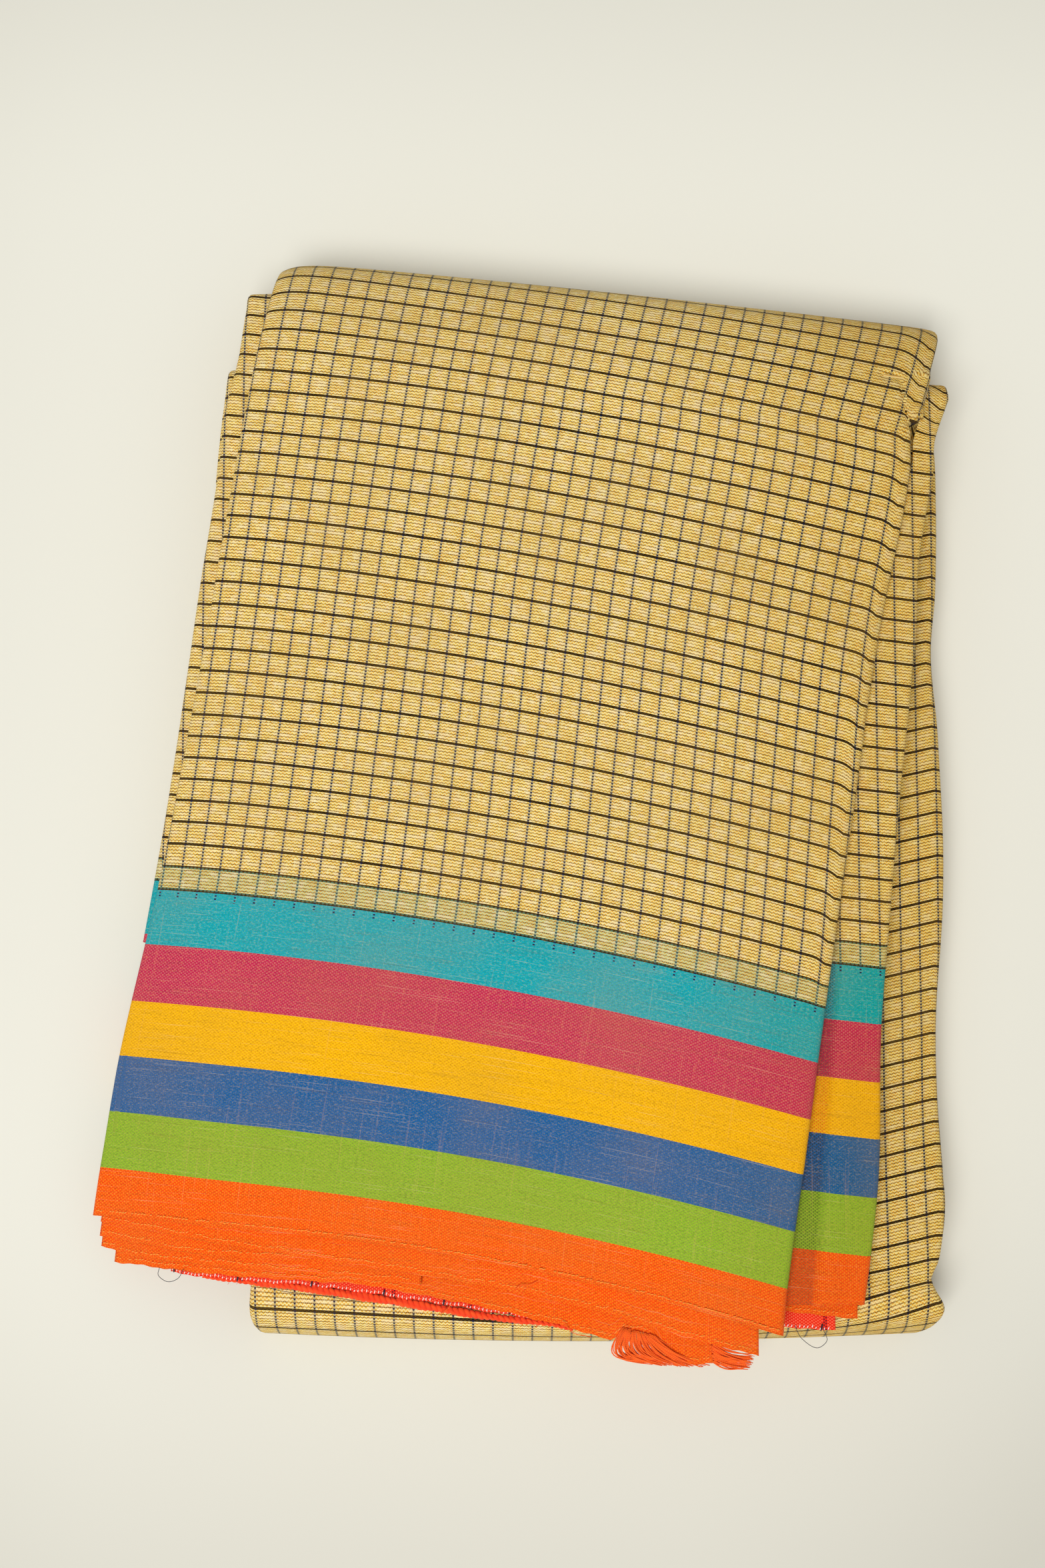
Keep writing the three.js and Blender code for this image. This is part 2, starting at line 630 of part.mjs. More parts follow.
/**
 * One ring of the hidden layers. outer(across) and inner(across) are its two lines, and the side
 * profiles join them. One column stands at shelf, the share where the lower bundle's edge passes.
 * Returns the ring's points, and the same ring laid out flat for its end cap.
 */
function layerRing({ outer, inner, width, leftSide, rightSide, beyond, shelf }) {
  const [LEFT_COLUMNS, RIGHT_COLUMNS] = [4, 8];
  const leftInset = 4.8;
  const rightInset = 6.6;
  const at = (inset) => inset / width;
  const middle = clamp(shelf, at(leftInset) + 0.015, 0.5);
  const line = [
    ...steps(LEFT_COLUMNS).map((share) => mix(at(leftInset), middle, share)),
    ...steps(RIGHT_COLUMNS).slice(1).map((share) => mix(middle, 1 - at(rightInset), share)),
  ];
  const points = [];
  const flat = [];
  const add = (across, depth, thickness) => {
    const share = thickness > 0 ? depth / thickness : 0;
    points.push(outer(across).lerp(inner(across), clamp(share, 0, 1)));
    flat.push(new THREE.Vector2(across * width, -depth));
  };
  const side = (profile, place) => profile.forEach((row) => {
    const across = place(row);
    const thickness = outer(across).distanceTo(inner(across));
    add(across, row.drop + (thickness - row.drop - row.rise) * row.part, thickness);
  });
  line.forEach((across) => add(across, 0, 1));
  side(rightSide, (row) => 1 - at(row.inset) + (row.beyond * beyond) / width);
  [...line].reverse().forEach((across) => {
    const thickness = outer(across).distanceTo(inner(across));
    add(across, thickness, thickness);
  });
  side([...leftSide].reverse(), (row) => at(row.inset));
  return { points, flat, line: line.length, rightSide: rightSide.length };
}

const mixRows = (a, b, share) => a.map((row, i) => Object.fromEntries(
  Object.keys(row).map((key) => [key, mix(row[key], b[i][key], share)]),
));

/** The layers inside the pack: one solid, bent round the back end of the lower top ply. */
function foldedLayers() {
  const rings = [];
  const upperFront = LAYER_DEPTH + 9;
  const SHELF_CLEARANCE = GAP + 0.5;
  const PAST_EDGE = 1;
  const SHELF_END = 10;
  const SLOT_SHARE = 0.045; // how far from the back the lower top ply ends, inside the bend
  const LOWER_FORM = { start: 0.7, length: 0.25 }; // share of the bend where the sides change form
  const floorOf = (x, y) => {
    const onLower = lowerTop(x, y) + SHELF_CLEARANCE;
    const hanging = Math.max(upperTop(x, y) - UPPER_THICKNESS, TABLE_CLEARANCE);
    const past = lowerEdges(clamp(y, PACK_Y.front, PACK_Y.back)).left - x;
    return mix(Math.max(onLower, hanging), hanging, ease((past - PAST_EDGE) / SHELF_END));
  };
  const UPPER_RINGS = 9;
  for (const share of steps(UPPER_RINGS)) {
    const along = (across) => mix(upperFront, bendStart(across), share);
    const outer = (across) => {
      const p = topFace(across, along(across));
      return new THREE.Vector3(p.x, p.y, p.z - OUTER_CLEARANCE);
    };
    const inner = (across) => {
      const p = outer(across);
      return new THREE.Vector3(p.x, p.y, floorOf(p.x, p.y));
    };
    const { x: rightX, y: rightY } = topPlan(1, along(1));
    const foldEdge = sample(RIGHT_FOLD, 'y', Math.max(rightY, PACK_Y.front)).edge;
    const beyond = (foldEdge - rightX) * runsUnder(rightY);
    const { x: leftX, y: leftY } = topPlan(0, along(0));
    const shelf = (lowerEdges(leftY).left - PAST_EDGE - leftX) / TOP_WIDTH;
    rings.push(layerRing({
      outer, inner, width: TOP_WIDTH, leftSide: UPPER_LEFT_SIDE, rightSide: UPPER_RIGHT_SIDE, beyond, shelf,
    }));
  }
  const slotEnd = (across, share) => {
    const line = lowerPlan(across, SLOT_SHARE);
    const height = lowerTop(line.x, line.y);
    const angle = Math.PI * share;
    const middle = height - WALL / 2;
    const radius = WALL / 2 + GAP;
    return new THREE.Vector3(line.x, line.y + radius * Math.sin(angle), middle + radius * Math.cos(angle));
  };
  for (const past of [10, 20, 29, 36, 43, 50, 57, 63]) {
    const share = past / backEnd;
    const outer = (across) => insideOf(backPoint, across, past, OUTER_CLEARANCE);
    const inner = (across) => slotEnd(across, share);
    const lowerForm = ease((share - LOWER_FORM.start) / LOWER_FORM.length);
    const leftSide = mixRows(UPPER_LEFT_SIDE, LOWER_SIDE, lowerForm);
    const rightSide = mixRows(UPPER_RIGHT_SIDE, LOWER_SIDE, lowerForm);
    const form = { width: TOP_WIDTH, leftSide, rightSide, beyond: BEND_INSET, shelf: 0 };
    rings.push(layerRing({ outer, inner, ...form }));
  }
  const lowerSides = { width: LOWER_WIDTH, leftSide: LOWER_SIDE, rightSide: LOWER_SIDE, beyond: 0, shelf: 0 };
  for (const share of LOWER_ROWS) {
    const between = (height) => (across) => {
      const { x, y } = lowerPlan(across, share);
      return new THREE.Vector3(x, y, height(x, y));
    };
    const outer = between(() => OUTER_CLEARANCE);
    const inner = between((x, y) => lowerTop(x, y) - OUTER_CLEARANCE);
    rings.push(layerRing({ outer, inner, ...lowerSides }));
  }
  const inRoll = (height) => (across) => {
    const y = ROLL_LINE.y + ROLL_ROOM;
    const { left, right } = lowerEdges(y);
    return new THREE.Vector3(mix(left, right, across), y, height);
  };
  const [outer, inner] = [inRoll(LAYERS_IN_ROLL.low), inRoll(LAYERS_IN_ROLL.high)];
  rings.push(layerRing({ outer, inner, ...lowerSides }));
  return loft('folded_layers', '#c9b27c', rings);
}

/** Joins rings of equal length into a closed solid with a flat cap at each end. */
function loft(name, colour, rings) {
  const size = rings[0].points.length;
  const points = rings.flatMap((ring) => ring.points);
  const triangles = [];
  for (let r = 0; r < rings.length - 1; r += 1) {
    for (let i = 0; i < size; i += 1) {
      const j = (i + 1) % size;
      const a = r * size;
      const b = a + size;
      triangles.push([a + i, a + j, b + j], [a + i, b + j, b + i]);
    }
  }
  const cap = ({ flat, line, rightSide }, base, reversed) => {
    const add = (i, j, k) => {
      const [second, third] = reversed ? [k, j] : [j, k];
      triangles.push([base + i, base + second, base + third]);
    };
    const bottom = (i) => 2 * line + rightSide - 1 - i;
    for (let i = 1; i < line - 2; i += 1) {
      add(i, bottom(i), bottom(i + 1));
      add(i, bottom(i + 1), i + 1);
    }
    const onRight = flat.map((_, i) => i).slice(line - 2, bottom(line - 2) + 1);
    const onLeft = [...flat.map((_, i) => i).slice(bottom(1)), 0, 1];
    for (const corner of [onRight, onLeft]) {
      const triangulated = THREE.ShapeUtils.triangulateShape(corner.map((i) => flat[i]), []);
      triangulated.forEach(([i, j, k]) => add(corner[i], corner[j], corner[k]));
    }
  };
  cap(rings[0], 0, false);
  cap(rings[rings.length - 1], (rings.length - 1) * size, true);
  return closedMesh(name, colour, points, triangles);
}

// ---------------------------------------------------------------- selvedges and frayed ends

/** How far one selvedge layer lies below the top stretch's face. */
const layerDrop = (level) => OUTER_CLEARANCE + level * LEAF_PITCH;

/** Height of a selvedge layer; past the top stretch's own edge it droops a little. */
function layerHeight(x, y, level) {
  const DROOP = { slope: 0.05, startY: -140 };
  const past = Math.max(0, DROOP.startY - y);
  return upperTop(x, Math.max(y, PACK_Y.front)) - layerDrop(level) - DROOP.slope * past;
}

/** One layer: from its visible edge back to LAYER_DEPTH under the top stretch. */
function selvedgeLayer(name, { level, colour, edge }) {
  const first = edge[0].x;
  const last = edge[edge.length - 1].x;
  // Columns stand closer where the layers sag to the left.
  const SPAN = { left: -129, fineEnd: -60, right: 70, fine: 10, coarse: 6 };
  const even = [
    ...steps(SPAN.fine).map((share) => mix(SPAN.left, SPAN.fineEnd, share)),
    ...steps(SPAN.coarse).map((share) => mix(SPAN.fineEnd, SPAN.right, share)),
  ];
  const apart = (x) => edge.every((point) => Math.abs(point.x - x) > 1);
  const within = even.filter((x) => x > first + 1 && x < last - 1 && apart(x));
  const xs = [...within, ...edge.map((point) => point.x)].sort((a, b) => a - b);
  const backY = (x) => {
    const row = sample(TOP_COURSE, 'along', LAYER_DEPTH);
    return topPlan(clamp((x - row.leftX) / (row.rightX - row.leftX), 0, 1), LAYER_DEPTH).y;
  };
  const front = (x) => {
    let i = 0;
    while (i < edge.length - 2 && x > edge[i + 1].x) i += 1;
    return mix(edge[i].y, edge[i + 1].y, (x - edge[i].x) / (edge[i + 1].x - edge[i].x));
  };
  const grid = [0, 0.35, 0.7, 1].map((share) => xs.map((x) => {
    const y = mix(front(x), backY(x), share);
    const leant = x + LAYER_LEAN * share * (1 - ease((x - SPAN.left) / (SPAN.fineEnd - SPAN.left)));
    return new THREE.Vector3(leant, y, layerHeight(leant, y, level));
  }));
  return wall(name, colour, grid, LEAF);
}

/** A short layer under the second fold on the right. */
function rightLayer(name, { colour, left, right, frontLeft, frontRight, back, drop }) {
  const grid = [0, 0.5, 1].map((share) => steps(5).map((across) => {
    const x = mix(left, right, across);
    const y = mix(mix(frontLeft, frontRight, across), back, share);
    return new THREE.Vector3(x, y, upperTop(UNDER_X, y) - drop);
  }));
  return wall(name, colour, grid, LEAF);
}

/** The rolled edge: a round cord along the far selvedge. */
function rolledSelvedge() {
  const level = 4.35;
  const path = ROLLED_EDGE.map(({ x, y }) => new THREE.Vector3(x, y, layerHeight(x, y, level) - LEAF / 2));
  const curve = new THREE.CatmullRomCurve3(path);
  const section = new THREE.Shape();
  const SIDES = 8;
  steps(SIDES).slice(1).forEach((share, i) => {
    const angle = 2 * Math.PI * share;
    const method = i === 0 ? 'moveTo' : 'lineTo';
    section[method](ROLLED_RADIUS * Math.cos(angle), ROLLED_RADIUS * Math.sin(angle));
  });
  section.closePath();
  const geometry = new THREE.ExtrudeGeometry(section, { steps: 18, bevelEnabled: false, extrudePath: curve });
  const material = new THREE.MeshStandardMaterial({ color: '#e0331f', roughness: 0.85, metalness: 0 });
  const mesh = new THREE.Mesh(geometry, material);
  mesh.name = 'rolled_selvedge';
  return mesh;
}

/** A closed mesh's geometry as a solid, for joining. */
function toSolid(mesh) {
  const plain = mesh.geometry.clone();
  plain.deleteAttribute('normal');
  plain.deleteAttribute('uv');
  const merged = mergeVertices(plain, 1e-4);
  return new wasm.Manifold(new wasm.Mesh({
    numProp: 3,
    vertProperties: new Float32Array(merged.attributes.position.array),
    triVerts: new Uint32Array(merged.index.array),
  }));
}

/** A three-sided thread along points, tapering to its loose end. */
function strand(points, radius) {
  const SIDES = 3;
  const corners = [];
  points.forEach((point, i) => {
    const next = points[Math.min(i + 1, points.length - 1)];
    const before = points[Math.max(i - 1, 0)];
    const forward = new THREE.Vector3().subVectors(next, before).normalize();
    const side = new THREE.Vector3(0, 0, 1).cross(forward).normalize();
    const up = forward.clone().cross(side);
    const size = radius * (1 - 0.4 * (i / (points.length - 1)));
    for (let k = 0; k < SIDES; k += 1) {
      const angle = (2 * Math.PI * k) / SIDES;
      const sideways = point.clone().addScaledVector(side, size * Math.cos(angle));
      corners.push(sideways.addScaledVector(up, size * Math.sin(angle)));
    }
  });
  const triangles = [[0, 2, 1]];
  for (let i = 0; i < points.length - 1; i += 1) {
    for (let k = 0; k < SIDES; k += 1) {
      const a = i * SIDES + k;
      const b = i * SIDES + ((k + 1) % SIDES);
      triangles.push([a, b, b + SIDES], [a, b + SIDES, a + SIDES]);
    }
  }
  const end = (points.length - 1) * SIDES;
  triangles.push([end, end + 1, end + 2]);
  return closedMesh('strand', '#f4590c', corners, triangles);
}

/** Loose weft threads fused at their roots to a narrow strip of cloth. */
function fray(name, { root, count, spread, sweep, length, level }) {
  const height = (x, y) => layerHeight(x, y, level);
  const STRIP = 1.6;
  const STRAND_RADIUS = 0.18;
  const ROOT_DEPTH = 0.5;
  const UNEVEN = { share: 0.08, turn: 2.4, step: 0.5 };
  const FALL = 1.2;
  const rootPoint = (share) => ({ x: mix(root[0].x, root[1].x, share), y: mix(root[0].y, root[1].y, share) });
  const across = new THREE.Vector2(root[1].x - root[0].x, root[1].y - root[0].y).normalize();
  const outwards = new THREE.Vector2(across.y, -across.x);
  const stripRow = (offset) => steps(4).map((share) => {
    const { x, y } = rootPoint(share);
    const px = x + outwards.x * offset;
    const py = y + outwards.y * offset;
    return new THREE.Vector3(px, py, height(px, py));
  });
  let solid = toSolid(wall('strip', '#f4590c', [stripRow(STRIP), stripRow(0)], LEAF));
  for (let i = 0; i < count; i += 1) {
    const share = (i + 0.5) / count;
    const start = rootPoint(share);
    const reach = length * (1 + UNEVEN.share * Math.sin(i * UNEVEN.turn));
    const points = steps(4).map((along) => {
      const out = ROOT_DEPTH + reach * along;
      const shift = (spread * (share - 0.5) + sweep) * along * along;
      const x = start.x + outwards.x * out + across.x * shift;
      const y = start.y + outwards.y * out + across.y * shift;
      const fall = FALL * along * along + (i % 2) * UNEVEN.step;
      return new THREE.Vector3(x, y, height(x, y) - LEAF / 2 + UNEVEN.step / 2 - fall);
    });
    solid = solid.add(toSolid(strand(points, STRAND_RADIUS)));
  }
  const joined = solid.getMesh();
  const geometry = new THREE.BufferGeometry();
  geometry.setAttribute('position', new THREE.Float32BufferAttribute(joined.vertProperties, 3));
  geometry.setIndex(Array.from(joined.triVerts));
  const material = new THREE.MeshStandardMaterial({ color: '#f4590c', roughness: 0.9, metalness: 0 });
  const mesh = new THREE.Mesh(geometry, material);
  mesh.name = name;
  return mesh;
}

// ---------------------------------------------------------------- the saree

const LEFT_FOLDS = {
  left_fold_2: {
    table: LEFT_FOLD_2,
    drop: LEFT_FOLD_DROP,
    rows: [-46, -26, -6, 18, 42, 66, 88, 106, 122, 134, 144, 151.5],
    reach: LEFT_FOLD_REACH,
    endTurn: 5,
  },
  left_fold_3: {
    table: LEFT_FOLD_3,
    drop: LEFT_FOLD_DROP + 2 * LEFT_FOLD_RADIUS + 2 * GAP,
    rows: [96, 106, 116, 124, 128],
    reach: -0.6,
    endTurn: 4.5,
  },
};
const RIGHT_LAYERS = {
  second_right_selvedge: {
    colour: '#f2580c',
    left: 71.5,
    right: 99.8,
    frontLeft: -155.2,
    frontRight: -158.2,
    back: -140,
    drop: 9.5,
  },
  far_selvedge_right: {
    colour: '#d9332a',
    left: 71.5,
    right: 93.4,
    frontLeft: -160.4,
    frontRight: -161.8,
    back: -143,
    drop: 10.95,
  },
};
const FRAYS = {
  frayed_selvedge: {
    root: [{ x: 30.4, y: -161.7 }, { x: 37.8, y: -162.8 }],
    count: 20,
    spread: 3,
    sweep: 4.5,
    length: 7,
    level: 3,
  },
  frayed_end: {
    root: [{ x: 57.5, y: -170.4 }, { x: 57.5, y: -164.4 }],
    count: 12,
    spread: 1,
    sweep: 0,
    length: 7.4,
    level: 3,
  },
};

const saree = new THREE.Group();
saree.add(topStretch(), lowerStretch(), secondRightFold(), foldedLayers(), rolledSelvedge());
for (const [name, fold] of Object.entries(LEFT_FOLDS)) saree.add(leftFold(name, fold));
for (const [name, layer] of Object.entries(SELVEDGE_LAYERS)) saree.add(selvedgeLayer(name, layer));
for (const [name, layer] of Object.entries(RIGHT_LAYERS)) saree.add(rightLayer(name, layer));
for (const [name, edge] of Object.entries(FRAYS)) saree.add(fray(name, edge));
saree.position.copy(ORIGIN).negate();

export default saree;
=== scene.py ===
"""A handloom cotton saree, folded flat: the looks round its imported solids.

Sizes in the tables are millimetres, in the part's own frame before it is centred; meshes are in
metres. A stretch of cloth is a grid of points worked out from the tables, closed into a thin
shell. Its UV map holds the cloth's own place in millimetres: u along the selvedge, v in from it.
"""

import logging
import math
from dataclasses import dataclass, field
from enum import Enum
from typing import Callable, Optional, Sequence

import bpy
import numpy as np
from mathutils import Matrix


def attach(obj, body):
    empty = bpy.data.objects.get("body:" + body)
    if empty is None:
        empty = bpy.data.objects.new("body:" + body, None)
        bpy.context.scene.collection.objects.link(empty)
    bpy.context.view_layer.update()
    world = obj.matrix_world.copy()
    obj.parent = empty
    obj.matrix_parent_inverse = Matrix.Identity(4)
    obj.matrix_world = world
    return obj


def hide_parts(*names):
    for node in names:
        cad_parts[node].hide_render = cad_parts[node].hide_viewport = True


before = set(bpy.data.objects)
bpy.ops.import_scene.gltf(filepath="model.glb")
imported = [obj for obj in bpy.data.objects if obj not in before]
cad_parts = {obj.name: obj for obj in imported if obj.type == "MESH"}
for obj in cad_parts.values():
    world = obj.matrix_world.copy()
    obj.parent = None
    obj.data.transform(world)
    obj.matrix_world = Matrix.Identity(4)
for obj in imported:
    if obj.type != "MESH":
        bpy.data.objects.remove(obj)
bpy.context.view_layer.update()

Array = np.ndarray
LOG = logging.getLogger("saree")

Face = Callable[[Array, Array], Array]

MM = 0.001
CENTRE = np.array([0.15, -1.4, 0.0])  # the tables' place of the part's middle
WALL = 0.55  # thickness of a stretch of cloth
LEAF = 0.5  # thickness of a selvedge layer


# ---------------------------------------------------------------- numbers and tables


def ease(share: Array) -> Array:
    """Smooth step: 3s^2 - 2s^3 between 0 and 1."""
    s = np.clip(share, 0.0, 1.0)
    return s * s * (3 - 2 * s)


def mix(low: Array, high: Array, share: Array) -> Array:
    """Straight blend from low to high."""
    return low + (high - low) * share


def unit(vectors: Array) -> Array:
    """Vectors scaled to length one."""
    return vectors / np.maximum(np.linalg.norm(vectors, axis=-1, keepdims=True), 1e-9)


def stack(x: Array, y: Array, z: Array) -> Array:
    """Points from three arrays that broadcast together."""
    return np.stack(np.broadcast_arrays(x, y, z), axis=-1).astype(float)


def ripple(x: Array, y: Array, seed: int, size: float, count: int = 7) -> Array:
    """Soft unevenness about zero: a sum of slow sine waves in seeded directions.

    Args:
        x, y: places in millimetres.
        seed: picks the directions and phases.
        size: the shortest wavelength in millimetres.
        count: how many waves are summed.

    Returns:
        Heights of about one unit.
    """
    rng = np.random.default_rng(seed)
    total = np.zeros(np.broadcast(x, y).shape)
    for _ in range(count):
        angle, phase = rng.uniform(0, 2 * math.pi, 2)
        wave = 2 * math.pi / (size * rng.uniform(1.0, 3.2))
        total = total + np.sin((x * math.cos(angle) + y * math.sin(angle)) * wave + phase)
    return total / math.sqrt(count / 2) / 1.6


def groove(x: Array, y: Array, line: Sequence[tuple[float, float]], width: float) -> Array:
    """One on a broken line and zero a little way off, for listed creases.

    Args:
        x: places across the pack, in millimetres.
        y: places along the pack, in millimetres.
        line: corners of the broken line.
        width: how far its sides reach, in millimetres.

    Returns:
        Values from 0 to 1.
    """
    nearest = np.full(np.broadcast(x, y).shape, 1e9)
    for (x0, y0), (x1, y1) in zip(line[:-1], line[1:]):
        dx, dy = x1 - x0, y1 - y0
        t = np.clip(((x - x0) * dx + (y - y0) * dy) / (dx * dx + dy * dy), 0, 1)
        nearest = np.minimum(nearest, np.hypot(x - x0 - t * dx, y - y0 - t * dy))
    return np.exp(-((nearest / width) ** 2))


class Course:
    """A short table with named columns, joined by a smooth cubic through its rows."""

    def __init__(self, names: str, rows: Sequence[Sequence[float]]) -> None:
        """Keeps the rows; the first name is the key the table is read by.

        Args:
            names: of the columns, with spaces between.
            rows: the table, by rising key.
        """
        self.names = names.split()
        self.rows = np.array(rows, float)
        keys = self.rows[:, :1]
        slopes = np.empty_like(self.rows)
        slopes[1:-1] = (self.rows[2:] - self.rows[:-2]) / (keys[2:] - keys[:-2])
        slopes[0] = (self.rows[1] - self.rows[0]) / (keys[1] - keys[0])
        slopes[-1] = (self.rows[-1] - self.rows[-2]) / (keys[-1] - keys[-2])
        self.slopes = slopes

    def __call__(self, name: str, at: Array) -> Array:
        """One column's value at places along the key.

        Args:
            name: of the column.
            at: places along the key.

        Returns:
            The values, of the same shape as the places.
        """
        column = self.names.index(name)
        keys = self.rows[:, 0]
        at = np.asarray(at, float)
        i = np.clip(np.searchsorted(keys, at, side="left") - 1, 0, len(keys) - 2)
        span = keys[i + 1] - keys[i]
        u = np.clip((at - keys[i]) / span, 0, 1)
        a, b = self.rows[i, column], self.rows[i + 1, column]
        ma, mb = self.slopes[i, column] * span, self.slopes[i + 1, column] * span
        rise = b - a
        return a + u * (ma + u * (3 * rise - 2 * ma - mb + u * (ma + mb - 2 * rise)))


class Turn:
    """A course of cloth round a bend, followed from its slope in short steps."""

    STEP = 0.25

    def __init__(self, rows: Sequence[tuple[float, float]]) -> None:
        """rows give the distance gone and the slope there in degrees.

        Args:
            rows: distance gone and slope in degrees, by rising distance.
        """
        slopes = Course("past slope", rows)
        self.end = rows[-1][0]
        self.past = np.arange(0, self.end + self.STEP / 2, self.STEP)
        angle = np.radians(slopes("slope", self.past[1:] - self.STEP / 2))
        self.out = np.concatenate([[0], np.cumsum(self.STEP * np.cos(angle))])
        self.down = np.concatenate([[0], np.cumsum(self.STEP * np.sin(angle))])
        self.reach = self.out.max()
        self.drop = self.down[-1]

    def at(self, past: Array) -> tuple[Array, Array]:
        """How far out and down the course has gone."""
        return np.interp(past, self.past, self.out), np.interp(past, self.past, self.down)


# ---------------------------------------------------------------- the form of the pack


@dataclass(frozen=True)
class PackForm:
    """The outlines and heights of the two bundles, as the solids have them."""

    top_height: float = 37.4
    lower_height: float = 21.0
    roll_height: float = 23.8
    roll_line: float = -160.2
    roll_bow: float = 2.6
    upper_thickness: float = 16.5
    back_seam: float = 52.3
    bend_starts: tuple[float, float] = (257.0, 272.0)
    right_slack: float = 2.2
    front_dip: float = 0.7
    course: Course = Course(
        "along left_x left_y right_x right_y bow",
        [
            (0, -131.5, -128.8, 77.0, -162.0, 7.8),
            (14, -129.3, -114.2, 78.4, -148.4, 6.4),
            (48.4, -123.6, -80.6, 83.3, -115.5, 5.8),
            (100, -111.8, -29.8, 90.6, -65.8, 5.3),
            (153, -101.7, 21.5, 98.7, -13.0, 5.0),
            (206, -92.2, 75.5, 107.4, 40.5, 4.6),
            (259, -83.0, 129.0, 118.0, 94.5, 4.2),
            (275, -79.6, 144.6, 119.0, 110.5, 4.0),
        ],
    )
    back_line: Course = Course("across x y bow", [(0, -76.7, 169.0, 1.0), (1, 131.4, 146.5, 1.0)])
    back: Turn = Turn(
        [(0, 3), (12, 12), (24, 24), (31, 36), (38, 62), (45, 84), (53, 98), (61, 130), (67, 168), (70, 180)]
    )
    roll: Turn = Turn([(0, 0), (3, 30), (8, 90), (13, 106), (19.5, 117), (26, 142), (32, 168), (36, 180)])
    edges: Course = Course(
        "y left right",
        [
            (-167, -80.6, 120.5),
            (-162, -82.0, 125.4),
            (-157, -82.3, 127.2),
            (-148, -81.6, 123.4),
            (-140, -81.5, 125.4),
            (-124, -81.4, 127.7),
            (-74, -80.8, 126.8),
            (-30, -80.0, 129.8),
            (18, -79.0, 129.0),
            (44, -78.5, 127.4),
            (64, -78.3, 129.2),
            (85, -78.0, 129.8),
            (150, -77.0, 129.6),
        ],
    )
    rows: Course = Course(
        "along left right",
        [
            (0, 0, 0),
            (100, 0, 0),
            (120, -1.1, -0.3),
            (186, -1.2, 1.9),
            (220, -1.0, 1.7),
            (262, 0.9, 1.7),
            (284, 3.0, 1.9),
            (360, 4.0, 2.4),
        ],
    )
    sag: Course = Course(
        "overhang drop", [(-24, 0), (0, 1.2), (13, 3.2), (22, 6.4), (32, 11.8), (50, 21.2)]
    )

    def lower_top(self, x: Array, y: Array) -> Array:
        """Height of the lower bundle's top ply: level, rising to the roll, thinner at the right.

        Args:
            x: places across the pack, in millimetres.
            y: places along the pack, in millimetres.

        Returns:
            Heights in millimetres.
        """
        to_roll = ease((-95 - y) / 50)
        slack = self.right_slack * ease((x - 108) / 20) * (1 - to_roll)
        return mix(self.lower_height, self.roll_height, to_roll) - slack

    def upper_top(self, x: Array, y: Array) -> Array:
        """Height of the pack's top ply: level, sagging where it hangs past the lower bundle."""
        overhang = self.edges("left", np.clip(y, -150, 150)) - x
        return self.top_height - self.front_dip * ease((-110 - y) / 40) - self.sag("drop", overhang)

    def top_plan(self, across: Array, along: Array) -> tuple[Array, Array]:
        """Plan of the top stretch: straight rows between its edges, bowed back in the middle.

        Args:
            across: shares of the width, 0 at the left and 1 at the right.
            along: distances from the selvedge along the course, in millimetres.

        Returns:
            x and y.
        """
        bow = self.course("bow", along) * 4 * across * (1 - across)
        x = mix(self.course("left_x", along), self.course("right_x", along), across)
        y = mix(self.course("left_y", along), self.course("right_y", along), across) + bow
        return x, y

    def bend_start(self, across: Array) -> Array:
        """Where along its course the top stretch starts to bend over the back."""
        return mix(*self.bend_starts, across)

    def back_point(self, across: Array, past: Array) -> Array:
        """A point of the back fold: the turn's course, scaled between its start and its outline.

        Args:
            across: shares of the width, 0 at the left and 1 at the right.
            past: distances gone since the bend began, in millimetres.

        Returns:
            Points of the outer face.
        """
        x0, y0 = self.top_plan(across, self.bend_start(across))
        x1 = self.back_line("x", across)
        corners = np.exp(-across / 0.022) * 4.0 + np.exp((across - 1) / 0.012) * 1.2
        y1 = self.back_line("y", across) + 4 * across * (1 - across) - corners
        out, down = self.back.at(past)
        share = out / self.back.reach
        height = self.upper_top(x0, y0) * (1 - down / self.back.drop)
        return stack(mix(x0, x1, share), mix(y0, y1, share), height)

    def top_face(self, across: Array, along: Array) -> Array:
        """The top stretch's outer face, flat part and bend.

        Args:
            across: shares of the width, 0 at the left and 1 at the right.
            along: distances from the selvedge along the course, in millimetres.

        Returns:
            Points of the outer face.
        """
        start = self.bend_start(across)
        flat_along = np.minimum(along, start)
        x, y = self.top_plan(across, flat_along)
        flat = stack(x, y, self.upper_top(x, y))
        bent = self.back_point(across, np.maximum(along - start, 0))
        return np.where((along > start)[..., None], bent, flat)

    def row_place(self, across: Array, along: Array) -> Array:
        """The cloth's distance from the selvedge: along the course, its rows eased a little."""
        return along + mix(self.rows("left", along), self.rows("right", along), across)

    def roll_start(self, across: Array) -> Array:
        """The line where the roll leaves the table, bowed forwards in the middle."""
        return self.roll_line - self.roll_bow * 4 * across * (1 - across)

    def lower_plan(self, across: Array, share: Array) -> tuple[Array, Array]:
        """Plan of the lower bundle, by the share of the way from the back to the roll.

        Args:
            across: shares of the width, 0 at the left and 1 at the right.
            share: of the way from the back to the roll.

        Returns:
            x and y.
        """
        back = self.back_point(across, self.back.end + 0 * share)
        y = mix(back[..., 1], self.roll_start(across), share)
        x = mix(self.edges("left", y), self.edges("right", y), across)
        return mix(back[..., 0], x, ease(share / 0.12)), y

